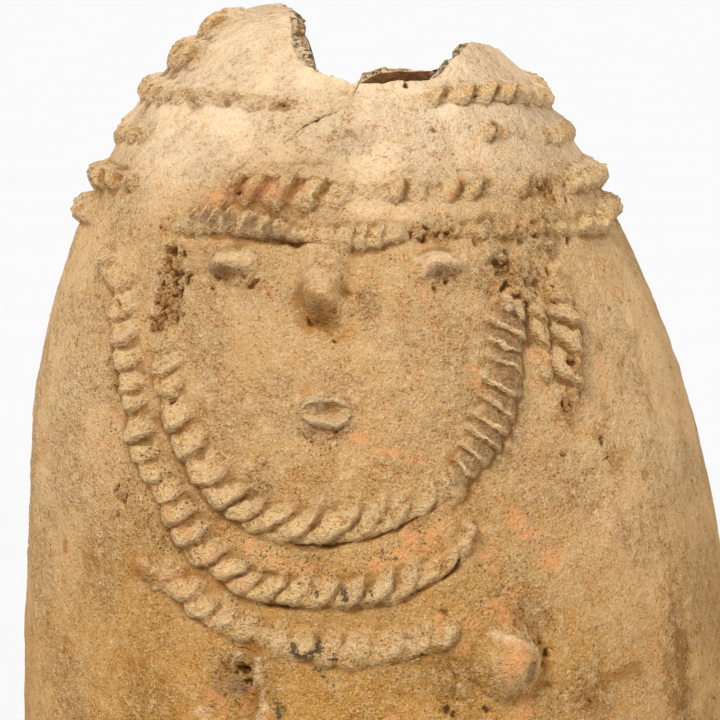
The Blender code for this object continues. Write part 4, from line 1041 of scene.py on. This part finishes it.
    outer = place(b, t, stand).reshape(shape + (3,))
    rows = [outer[j] for j in range(shape[0])]

    # The broken edge: rough, grainy, leaning from the outer to the inner face.
    inner_t = rim_in
    inner_edge = place(bearing, inner_t, -thickness(inner_t))
    outer_edge = rows[-1]
    steps_b = 13
    for q in range(1, steps_b):
        u = q / steps_b
        edge = outer_edge * (1 - u) + inner_edge * u
        bulge = math.sin(math.pi * u) ** 0.6
        shake = np.stack([0.0013 * lumps(edge, 0.0062, 41) + 0.0010 * lumps(edge, 0.0026, 42),
                          0.0013 * lumps(edge, 0.0062, 43) + 0.0010 * lumps(edge, 0.0026, 44),
                          0.0014 * lumps(edge, 0.0070, 45) + 0.0011 * lumps(edge, 0.0028, 46)
                          + 0.0004 * lumps(edge, 0.0014, 47)], -1)
        rows.append(edge + shake * bulge)
    floor_t = along(0.0085)
    inner_rows = 84
    for q in range(inner_rows + 1):
        u = q / inner_rows
        tt = inner_t + (floor_t - inner_t) * u
        flat = place(bearing, tt, 0.0)
        drag = 0.0006 * np.sin(tt / 0.0021 + 0.8 * np.sin(np.radians(bearing * 2)))
        inset = -thickness(tt) + drag * smoothstep(u * 9) + 0.0007 * lumps(flat, 0.022, 51)
        rows.append(place(bearing, tt, inset))
    last = rows[-1]
    for share_in in (0.93, 0.62, 0.3):
        ring = last.copy()
        ring[:, :2] *= share_in
        ring[:, 2] = FLOOR + 0.0004 * lumps(ring, 0.012, 53)
        rows.append(ring)
    under = []
    for share_in in (0.35, 0.7, 1.0):
        turn_b = np.radians(bearing)
        under.append(np.stack([BASE_FLAT * share_in * np.sin(turn_b),
                               -BASE_FLAT * share_in * np.cos(turn_b), np.zeros(n)], -1))
    rows = under + rows
    m = len(rows)
    points = np.concatenate(rows + [np.array([[0, 0, 0], [0, 0, FLOOR]])])

    j, i = np.meshgrid(np.arange(m - 1), np.arange(n), indexing="ij")
    k2 = (i + 1) % n
    quads = np.stack([j * n + i, j * n + k2, (j + 1) * n + k2, (j + 1) * n + i], -1).reshape(-1, 4)
    i = np.arange(n)
    k2 = (i + 1) % n
    end = (m - 1) * n
    fans = np.concatenate([np.stack([np.full(n, m * n), k2, i], -1),
                           np.stack([np.full(n, m * n + 1), end + i, end + k2], -1)])
    mesh = bpy.data.meshes.new("urn_fine")
    mesh.vertices.add(len(points))
    mesh.vertices.foreach_set("co", points.astype(np.float32).ravel())
    loops = np.concatenate([quads.ravel(), fans.ravel()]).astype(np.int32)
    starts = np.concatenate([np.arange(len(quads)) * 4, 4 * len(quads) + np.arange(len(fans)) * 3]).astype(np.int32)
    mesh.loops.add(len(loops))
    mesh.loops.foreach_set("vertex_index", loops)
    mesh.polygons.add(len(starts))
    mesh.polygons.foreach_set("loop_start", starts)
    mesh.update(calc_edges=True)
    mesh.validate()
    marks["stand"] = stand
    keep = dict(bearing=bearing, steps=steps, step_b=step_b, rim_out=rim_out, rim_in=rim_in,
                rim_rows=rim_rows, shape=shape, marks={k: v.reshape(shape) for k, v in marks.items()})
    return mesh, keep, len(quads) * 2 + len(fans)


def thinned(mesh, triangles, limit):
    """The same surface with fewer triangles, kept where the relief is."""
    guide = bpy.data.objects.new("urn_guide", mesh)
    bpy.context.scene.collection.objects.link(guide)
    step = guide.modifiers.new("fewer", "DECIMATE")
    step.ratio = min(1.0, limit / triangles)
    step.use_collapse_triangulate = True
    bpy.context.view_layer.update()
    graph = bpy.context.evaluated_depsgraph_get()
    out = bpy.data.meshes.new_from_object(guide.evaluated_get(graph))
    bpy.data.objects.remove(guide, do_unlink=True)
    bpy.data.meshes.remove(mesh)
    return out


def sample(keep, grid, bearing, t):
    """Value of an outer-face grid at any place on the wall."""
    cols = keep["bearing"]
    ci = np.interp(bearing, cols, np.arange(len(cols)))
    rim = np.interp(bearing, cols, keep["rim_out"])
    steps = keep["steps"]
    low = np.interp(t, steps, np.arange(len(steps)))
    high = len(steps) - 1 + np.clip((t - keep["step_b"]) / (rim - keep["step_b"]), 0, 1) * keep["rim_rows"]
    ri = np.where(t > keep["step_b"], high, low)
    c0, r0 = np.floor(ci).astype(int), np.floor(ri).astype(int)
    c1, r1 = np.minimum(c0 + 1, len(cols) - 1), np.minimum(r0 + 1, grid.shape[0] - 1)
    fc, fr = ci - c0, ri - r0
    return ((grid[r0, c0] * (1 - fc) + grid[r0, c1] * fc) * (1 - fr)
            + (grid[r1, c0] * (1 - fc) + grid[r1, c1] * fc) * fr)


def paint(mesh, keep):
    """Writes what the material needs to know at each point of the mesh."""
    co = np.zeros(len(mesh.vertices) * 3, np.float32)
    mesh.vertices.foreach_get("co", co)
    co = co.reshape(-1, 3).astype(float)
    bearing, t, stand = locate(co)
    thick = thickness(t)
    rim_out = np.interp(bearing, keep["bearing"], keep["rim_out"])
    rim_in = np.interp(bearing, keep["bearing"], keep["rim_in"])
    face_at = sample(keep, keep["marks"].pop("stand"), bearing, t)
    depth = np.clip((face_at - stand) / (face_at + thick), 0, 1)
    rim = rim_out * (1 - depth) + rim_in * depth
    broken = smoothstep((0.0034 - np.abs(t - rim)) / 0.0016) * smoothstep((depth - 0.05) / 0.12)
    broken = broken * (1 - smoothstep((depth - 0.93) / 0.07))
    values = {"inside": smoothstep((depth - 0.55) / 0.25) * (1 - broken), "broken": broken}
    outside = 1 - smoothstep((depth - 0.45) / 0.2)
    for name, grid in keep["marks"].items():
        v = sample(keep, grid, bearing, t)
        values[name] = v * outside * (1 - broken)
    for name, v in values.items():
        layer = mesh.attributes.new(name, "FLOAT", "POINT")
        layer.data.foreach_set("value", v.astype(np.float32))


# --------------------------------------------------------------- the material
LOW_CLAY = (0.310, 0.160, 0.039)
MID_CLAY = (0.362, 0.223, 0.097)
SIDE_PAINTED_LIGHT = (0.520, 0.352, 0.182)
HIGH_CLAY = (0.570, 0.420, 0.268)


class Shade:
    """Small helper that wires shader nodes."""

    def __init__(self, name):
        self.mat = bpy.data.materials.new(name)
        self.mat.use_nodes = True
        self.tree = self.mat.node_tree
        self.bsdf = self.tree.nodes["Principled BSDF"]
        self.coords = self.tree.nodes.new("ShaderNodeTexCoord").outputs["Object"]

    def link(self, a, b):
        self.tree.links.new(a, b)

    def put(self, socket, value):
        if isinstance(value, (int, float)):
            socket.default_value = value
        elif isinstance(value, tuple):
            socket.default_value = value if len(value) == len(socket.default_value) else value + (1.0,)
        else:
            self.link(value, socket)

    def attribute(self, name):
        node = self.tree.nodes.new("ShaderNodeAttribute")
        node.attribute_type = "GEOMETRY"
        node.attribute_name = name
        return node.outputs["Fac"]

    def stretched(self, x, y, z):
        node = self.tree.nodes.new("ShaderNodeMapping")
        node.inputs["Scale"].default_value = (x, y, z)
        self.link(self.coords, node.inputs["Vector"])
        return node.outputs["Vector"]

    def noise(self, size_mm, detail=2.0, rough=0.5, coords=None, distort=0.0):
        node = self.tree.nodes.new("ShaderNodeTexNoise")
        self.link(coords or self.coords, node.inputs["Vector"])
        node.inputs["Scale"].default_value = 1000.0 / size_mm
        node.inputs["Detail"].default_value = detail
        node.inputs["Roughness"].default_value = rough
        node.inputs["Distortion"].default_value = distort
        return node.outputs["Fac"]

    def cells(self, size_mm, feature="F1", random=1.0):
        node = self.tree.nodes.new("ShaderNodeTexVoronoi")
        node.feature = feature
        self.link(self.coords, node.inputs["Vector"])
        node.inputs["Scale"].default_value = 1000.0 / size_mm
        node.inputs["Randomness"].default_value = random
        return node

    def remap(self, value, low, high, out_low=0.0, out_high=1.0, smooth=True):
        node = self.tree.nodes.new("ShaderNodeMapRange")
        node.interpolation_type = "SMOOTHSTEP" if smooth else "LINEAR"
        self.put(node.inputs["Value"], value)
        for key, v in (("From Min", low), ("From Max", high), ("To Min", out_low), ("To Max", out_high)):
            node.inputs[key].default_value = v
        return node.outputs["Result"]

    def math(self, kind, a, b=None, clamp=False):
        node = self.tree.nodes.new("ShaderNodeMath")
        node.operation = kind
        node.use_clamp = clamp
        self.put(node.inputs[0], a)
        if b is not None:
            self.put(node.inputs[1], b)
        return node.outputs[0]

    def mix(self, factor, a, b, kind="MIX"):
        node = self.tree.nodes.new("ShaderNodeMix")
        node.data_type = "RGBA"
        node.blend_type = kind
        node.clamp_factor = True
        self.put(node.inputs[0], factor)
        self.put(node.inputs[6], a)
        self.put(node.inputs[7], b)
        return node.outputs[2]

    def patchy(self, closeness, grain, low, high, share=0.6):
        """A mask with broken edges: closeness shaken by noise."""
        shaken = self.math("ADD", closeness, self.math("MULTIPLY", self.math("SUBTRACT", grain, 0.5), share))
        return self.remap(shaken, low, high)


def clay():
    s = Shade("fired_clay")
    wide, patch = s.noise(95, 2.0), s.noise(26, 3.0, 0.6)
    mottle, small = s.noise(8, 4.0, 0.65), s.noise(3.4, 3.0, 0.62)
    grain, sand = s.noise(1.35, 3.0, 0.65), s.noise(0.80, 1.0, 0.5)
    sweep = s.stretched(0.72, 0.72, 1.0)
    flake = s.noise(2.6, 3.0, 0.60, coords=sweep, distort=1.3)
    proud_s, proud_l, crust = s.attribute("proud_small"), s.attribute("proud_large"), s.attribute("crust")

    # one height field for the fine roughness, so that low spots are also painted darker, as earth and painted shade
    strength = s.remap(crust, 0.0, 1.0, 0.56, 1.60, smooth=False)
    field = s.math("ADD", s.math("MULTIPLY", small, 1.20), s.math("MULTIPLY", flake, 0.45))
    field = s.math("ADD", field, s.math("MULTIPLY", grain, 0.72))
    field = s.math("ADD", field, s.math("MULTIPLY", sand, 0.16))
    field = s.math("SUBTRACT", field, 1.265)
    field = s.math("MULTIPLY", field, strength)

    # where between two crests of a pinched strip a point is, 0 on the crest
    turn = s.math("MULTIPLY", s.math("SUBTRACT", small, 0.5), 0.38)
    turn = s.math("FRACT", s.math("ADD", s.attribute("count"), turn))
    cell = s.attribute("cell")
    crease = s.math("MAXIMUM", s.remap(turn, .15, .0), s.remap(turn, .78, 1.0, smooth=False))
    crease = s.math("MULTIPLY", crease, cell)
    after = s.math("MULTIPLY", s.remap(turn, .02, .10), s.remap(turn, .54, .16))
    line = s.remap(s.math("ABSOLUTE", s.math("SUBTRACT", turn, 0.5)), .375, .460)

    # fine pores in the scars, painted dark as the shade in them
    pock = s.noise(1.8, 3.0, 0.62, distort=0.8)
    scar = s.patchy(s.attribute("scar"), small, .30, .90, 1.2)
    pocks = s.math("MULTIPLY", scar, s.remap(pock, .47, .38))
    lip, lips = s.attribute("lip"), s.attribute("lip_near")
    # bands along the lips: painted highlights on the lower lip's rim and the upper arch, painted shadows under the
    # upper lip and under the lower lip
    lip_rim_highlight = s.remap(s.math("ABSOLUTE", s.math("ADD", lip, 0.84)), .20, .05)
    lip_top_highlight = s.remap(s.math("ABSOLUTE", s.math("SUBTRACT", lip, 0.76)), .20, .05)
    lip_under_shadow = s.remap(s.math("ABSOLUTE", s.math("SUBTRACT", lip, 0.46)), .15, .04)
    lip_foot_shadow = s.remap(s.math("ABSOLUTE", s.math("ADD", lip, 1.22)), .18, .05)

    # ochre low down, paler upwards, palest in the film of dust on the shoulder
    place_at = s.tree.nodes.new("ShaderNodeSeparateXYZ")
    s.link(s.coords, place_at.inputs[0])
    rise = s.math("ADD", place_at.outputs["Z"], s.math("MULTIPLY", s.math("SUBTRACT", wide, 0.5), .10))
    colour = s.mix(s.remap(rise, .262, .400), LOW_CLAY, MID_CLAY)
    # painted light: the flanks, away from the middle, lightened more towards the top
    side = s.math("ABSOLUTE", s.math("SUBTRACT", place_at.outputs["X"], .010))
    side = s.math("MULTIPLY", s.remap(side, .070, .135), s.remap(rise, .270, .400, .30, .75))
    colour = s.mix(side, colour, SIDE_PAINTED_LIGHT)
    colour = s.mix(s.math("MULTIPLY", s.remap(patch, .46, .68), .42), colour, (0.345, 0.180, 0.062))
    # the strips get less of the dust film and are painted warmer and lighter than the wall, painted light that offsets
    # the shade on their downward faces
    film = s.math("MULTIPLY", s.remap(rise, .452, .515), s.remap(mottle, .28, .62, .74, .97))
    film = s.math("MULTIPLY", film, s.math("SUBTRACT", 1.0, s.math("MULTIPLY", cell, .70)))
    colour = s.mix(film, colour, HIGH_CLAY)
    # painted light: the strips lightened to offset their shade
    colour = s.mix(s.math("MULTIPLY", cell, .84), colour, (0.640, 0.420, 0.192))
    # earth and dust in drifts of the mottle; earth and painted shade in the low spots of the grain, dust and painted
    # highlight on the high ones
    colour = s.mix(s.math("MULTIPLY", s.remap(mottle, .50, .76), s.remap(film, 0.0, 1.0, .50, .25)), colour, s.mix(.60, colour, (0.560, 0.390, 0.215)))
    colour = s.mix(s.math("MULTIPLY", s.remap(mottle, .50, .26), s.remap(film, 0.0, 1.0, .65, .35)), colour, (1.00, 0.78, 0.52), "MULTIPLY")
    colour = s.mix(s.remap(field, 0.02, 0.42), colour, s.mix(.50, colour, (0.640, 0.470, 0.290)))
    colour = s.mix(s.math("MULTIPLY", s.remap(field, -0.02, -0.36), .80), colour, (0.66, 0.48, 0.30), "MULTIPLY")
    # the dark grains come in drifts, fewest where dust lies
    drift = s.math("MULTIPLY", s.remap(mottle, .62, .38, .35, 1.0), s.remap(film, 0.0, 1.0, 1.0, .45))
    colour = s.mix(s.math("MULTIPLY", s.math("MULTIPLY", s.remap(grain, .44, .29), drift), .85), colour, (0.46, 0.31, 0.16), "MULTIPLY")
    colour = s.mix(s.math("MULTIPLY", s.math("MULTIPLY", s.remap(sand, .40, .29), drift), .85), colour, (0.42, 0.27, 0.13), "MULTIPLY")
    colour = s.mix(s.math("MULTIPLY", s.remap(sand, .55, .71), .46), colour, s.mix(.62, colour, (0.680, 0.500, 0.310)))

    # crests painted paler, as rubbed dust and painted highlight; hollows painted darker, as earth and painted shade
    rubbed_and_highlit = s.patchy(s.math("MULTIPLY", proud_s, .9), small, .10, .85, .9)
    colour = s.mix(s.math("MULTIPLY", rubbed_and_highlit, .34), colour, (0.560, 0.385, 0.205))
    # painted highlight, with rubbed wear, on the band along each crest
    rubbed_and_highlit = s.patchy(crease, small, .50, 1.00, .9)
    colour = s.mix(s.math("MULTIPLY", rubbed_and_highlit, .55), colour, (0.620, 0.435, 0.235))
    # painted shade on the steep face just after each crest, tinted orange-brown
    lee_shade = s.patchy(s.math("MULTIPLY", s.attribute("lee_shade"), after), small, .20, .80, .9)
    colour = s.mix(s.math("MULTIPLY", lee_shade, .66), colour, (0.270, 0.120, 0.028))
    # the cord's cells painted dark brown between its crest lines: dirt and painted shade
    cord_dirt_and_shade = s.patchy(s.math("MULTIPLY", s.math("MULTIPLY", s.attribute("cord_dirt_and_shade"), s.math("SUBTRACT", 1.0, line)), s.remap(turn, .97, .60, .60, 1.0)), small, .20, .80, 1.3)
    cord_dirt_and_shade = s.math("MULTIPLY", cord_dirt_and_shade, s.remap(grain, .36, .56, .45, 1.0))
    colour = s.mix(s.math("MULTIPLY", cord_dirt_and_shade, .86), colour, (0.172, 0.086, 0.036))
    # pale line along each crest of the brow and the cord: chalky dust and painted highlight
    chalk_and_highlight = s.patchy(s.math("MULTIPLY", s.attribute("chalk_and_highlight"), line), grain, .30, .90, 1.7)
    colour = s.mix(s.math("MULTIPLY", chalk_and_highlight, .62), colour, (0.630, 0.440, 0.240))
    # painted shade, with earth, in what lies below its neighbourhood
    low = s.patchy(s.math("MULTIPLY", proud_l, -1.0), small, .25, 1.05, 1.0)
    colour = s.mix(s.math("MULTIPLY", low, .30), colour, (0.250, 0.115, 0.030))
    low = s.patchy(s.math("MULTIPLY", proud_s, -1.0), grain, .25, .95, .8)
    colour = s.mix(s.math("MULTIPLY", low, .62), colour, (0.175, 0.070, 0.014))
    # painted highlights on the lips' rims, painted shadows under the lips
    colour = s.mix(s.math("MULTIPLY", s.math("MULTIPLY", lip_rim_highlight, lips), .50), colour, (0.620, 0.450, 0.270))
    colour = s.mix(s.math("MULTIPLY", s.math("MULTIPLY", lip_top_highlight, lips), .35), colour, (0.620, 0.450, 0.270))
    colour = s.mix(s.math("MULTIPLY", s.math("MULTIPLY", lip_under_shadow, lips), .55), colour, (0.190, 0.090, 0.026))
    colour = s.mix(s.math("MULTIPLY", s.math("MULTIPLY", lip_foot_shadow, lips), .55), colour, (0.190, 0.090, 0.026))
    colour = s.mix(s.math("MULTIPLY", scar, .60), colour, (0.420, 0.195, 0.050))
    crumbs = s.math("MULTIPLY", scar, s.remap(pock, .55, .66))
    colour = s.mix(s.math("MULTIPLY", crumbs, .60), colour, (0.560, 0.380, 0.190))
    # painted shade: the pores in the scars painted near-black
    colour = s.mix(s.math("MULTIPLY", pocks, .88), colour, (0.095, 0.032, 0.006))
    # stains, with painted shade under the nose and the left eye
    stain_and_shade = s.patchy(s.attribute("stain_and_shade"), flake, .36, .84, 2.4)
    colour = s.mix(s.math("MULTIPLY", stain_and_shade, .72), colour, (0.250, 0.108, 0.024))
    pink = s.patchy(s.attribute("pink"), s.noise(4.6, 4.0, 0.7), .34, .92, 2.0)
    pink = s.math("MULTIPLY", pink, s.remap(grain, .34, .54, .50, 1.0))
    colour = s.mix(s.math("MULTIPLY", pink, .72), colour, (0.530, 0.235, 0.092))
    # violet-brown patches, with painted shade under the eyes and the nose
    violet_and_shade = s.patchy(s.attribute("violet_and_shade"), small, .24, .84, 1.3)
    colour = s.mix(s.math("MULTIPLY", violet_and_shade, .76), colour, (0.185, 0.102, 0.053))
    # pale patches, with painted highlights on the eyes, the breast and the lips
    pale_and_highlight = s.patchy(s.attribute("pale_and_highlight"), small, .25, .95, 1.2)
    colour = s.mix(s.math("MULTIPLY", pale_and_highlight, .62), colour, (0.600, 0.432, 0.250))
    # grit: dense in the peppered strips, thin elsewhere
    cluster = s.patchy(s.attribute("pepper"), mottle, .50, .90, 2.4)
    dot = s.math("MULTIPLY", s.remap(grain, .415, .375), cluster)
    colour = s.mix(s.math("MULTIPLY", dot, .85), colour, (0.050, 0.036, 0.024))
    speck = s.cells(6.4)
    dot = s.remap(speck.outputs["Distance"], .105, .05)
    pick = s.remap(speck.outputs["Color"], .60, .62)
    colour = s.mix(s.math("MULTIPLY", s.math("MULTIPLY", dot, pick), .75), colour, (0.120, 0.060, 0.026))
    ink = s.patchy(s.attribute("pigment"), grain, .46, .86, 2.2)
    colour = s.mix(s.math("MULTIPLY", ink, .88), colour, (0.050, 0.040, 0.022))
    # painted shade: holes, grooves and cracks painted near-black brown
    hole = s.patchy(s.attribute("hollow"), grain, .44, .84, .6)
    colour = s.mix(s.math("MULTIPLY", hole, .88), colour, (0.085, 0.030, 0.006))
    # the fresh core in the break, and the inside, painted dark as shade
    core = s.mix(s.remap(small, .35, .65), (0.190, 0.130, 0.066), (0.500, 0.360, 0.205))
    core = s.mix(s.remap(place_at.outputs["Y"], -.010, .030), core,
                 s.mix(s.remap(small, .35, .60), (0.330, 0.190, 0.085), (0.600, 0.430, 0.250)))
    # painted shade: the pores in the break painted near-black
    core = s.mix(s.math("MULTIPLY", s.remap(pock, .49, .40), .92), core, (0.040, 0.026, 0.010))
    colour = s.mix(s.attribute("broken"), colour, core)
    inside_shade = s.mix(s.remap(mottle, .35, .65), (0.100, 0.042, 0.016), (0.170, 0.080, 0.032))
    colour = s.mix(s.attribute("inside"), colour, inside_shade)
    s.link(colour, s.bsdf.inputs["Base Color"])

    rough = s.remap(mottle, .30, .70, .86, .98)
    s.link(rough, s.bsdf.inputs["Roughness"])
    s.bsdf.inputs["Specular IOR Level"].default_value = 0.0
    s.bsdf.inputs["Metallic"].default_value = 0.0

    bump = s.tree.nodes.new("ShaderNodeBump")
    bump.inputs["Strength"].default_value = 1.0
    bump.inputs["Distance"].default_value = 0.0024
    tall = s.math("ADD", field, s.math("MULTIPLY", crease, 0.28))
    tall = s.math("SUBTRACT", tall, s.math("MULTIPLY", pocks, 0.45))
    tall = s.math("SUBTRACT", tall, s.math("MULTIPLY", s.math("MULTIPLY", s.remap(pock, .49, .40), s.attribute("broken")), 0.45))
    tall = s.math("ADD", tall, s.math("MULTIPLY", s.math("MULTIPLY", s.math("MAXIMUM", lip_rim_highlight, lip_top_highlight), lips), 0.20))
    tall = s.math("SUBTRACT", tall, s.math("MULTIPLY", s.math("MULTIPLY", s.math("MAXIMUM", lip_under_shadow, lip_foot_shadow), lips), 0.20))
    s.link(tall, bump.inputs["Height"])
    s.link(bump.outputs["Normal"], s.bsdf.inputs["Normal"])
    return s.mat


# ------------------------------------------------------------------ the piece
fine_mesh, layout, count = build_urn()
body = thinned(fine_mesh, count, 192000)
body.name = "urn_clay"
lowest = np.zeros(len(body.vertices) * 3, np.float32)
body.vertices.foreach_get("co", lowest)
lowest = lowest.reshape(-1, 3)
lowest[lowest[:, 2] < 0.0006, 2] = 0.0
body.vertices.foreach_set("co", lowest.ravel())
body.update()
paint(body, layout)
body.materials.clear()
body.materials.append(clay())
body.shade_smooth()
urn = bpy.data.objects.new("urn_clay", body)
bpy.context.scene.collection.objects.link(urn)
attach(urn, "root")
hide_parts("urn")
print("urn_clay:", len(body.polygons), "faces,", len(body.vertices), "vertices")


# ----------------------------------------------------- floor, light and camera
def floor_paint():
    s = Shade("studio_floor")
    tone = s.mix(s.noise(400, 2.0), (0.535, 0.535, 0.535), (0.549, 0.549, 0.549))
    s.link(tone, s.bsdf.inputs["Base Color"])
    s.bsdf.inputs["Roughness"].default_value = 1.0
    s.bsdf.inputs["Specular IOR Level"].default_value = 0.0
    return s.mat


ground = bpy.data.meshes.new("studio_floor")
ring = [(80 * math.cos(math.radians(a)), 80 * math.sin(math.radians(a)), -0.0002) for a in range(0, 360, 5)]
ground.from_pydata(ring, [], [list(range(len(ring)))])
ground.materials.append(floor_paint())
floor = bpy.data.objects.new("studio_floor", ground)
bpy.context.scene.collection.objects.link(floor)

world = bpy.data.worlds.new("studio")
bpy.context.scene.world = world
world.use_nodes = True
sky = world.node_tree.nodes["Background"]
sky.inputs["Color"].default_value = (1.0, 1.0, 1.0, 1)
sky.inputs["Strength"].default_value = 0.74


def sun(name, azimuth, elevation, strength, spread_deg, colour=(1, 1, 1)):
    """A broad soft light from a bearing (degrees from -Y towards +X)."""
    data = bpy.data.lights.new(name, "SUN")
    data.energy = strength
    data.angle = math.radians(spread_deg)
    data.color = colour
    obj = bpy.data.objects.new(name, data)
    bpy.context.scene.collection.objects.link(obj)
    a, e = math.radians(azimuth), math.radians(elevation)
    back = Vector((math.sin(a) * math.cos(e), -math.cos(a) * math.cos(e), math.sin(e)))
    obj.rotation_euler = back.to_track_quat("Z", "Y").to_euler()
    return obj


key = sun("key", -30, 41, 3.85, 18)
fill = sun("fill", 58, 8, 2.7, 90)

azimuth, elevation, distance = math.radians(6.0), math.radians(7.0), 1.60
back = Vector((math.sin(azimuth) * math.cos(elevation), -math.cos(azimuth) * math.cos(elevation), math.sin(elevation)))
right = Vector((math.cos(azimuth), math.sin(azimuth), 0.0))
up = back.cross(right)
target = Vector((0, 0, 0.3916)) + right * 0.00675
lens = bpy.data.cameras.new("camera")
lens.lens = 177.78
lens.sensor_width = 36.0
lens.clip_end = 400
camera = bpy.data.objects.new("camera", lens)
bpy.context.scene.collection.objects.link(camera)
camera.matrix_world = Matrix((
    (right.x, up.x, back.x, target.x + back.x * distance),
    (right.y, up.y, back.y, target.y + back.y * distance),
    (right.z, up.z, back.z, target.z + back.z * distance),
    (0, 0, 0, 1)))
bpy.context.scene.camera = camera
bpy.context.scene.view_settings.view_transform = "Standard"
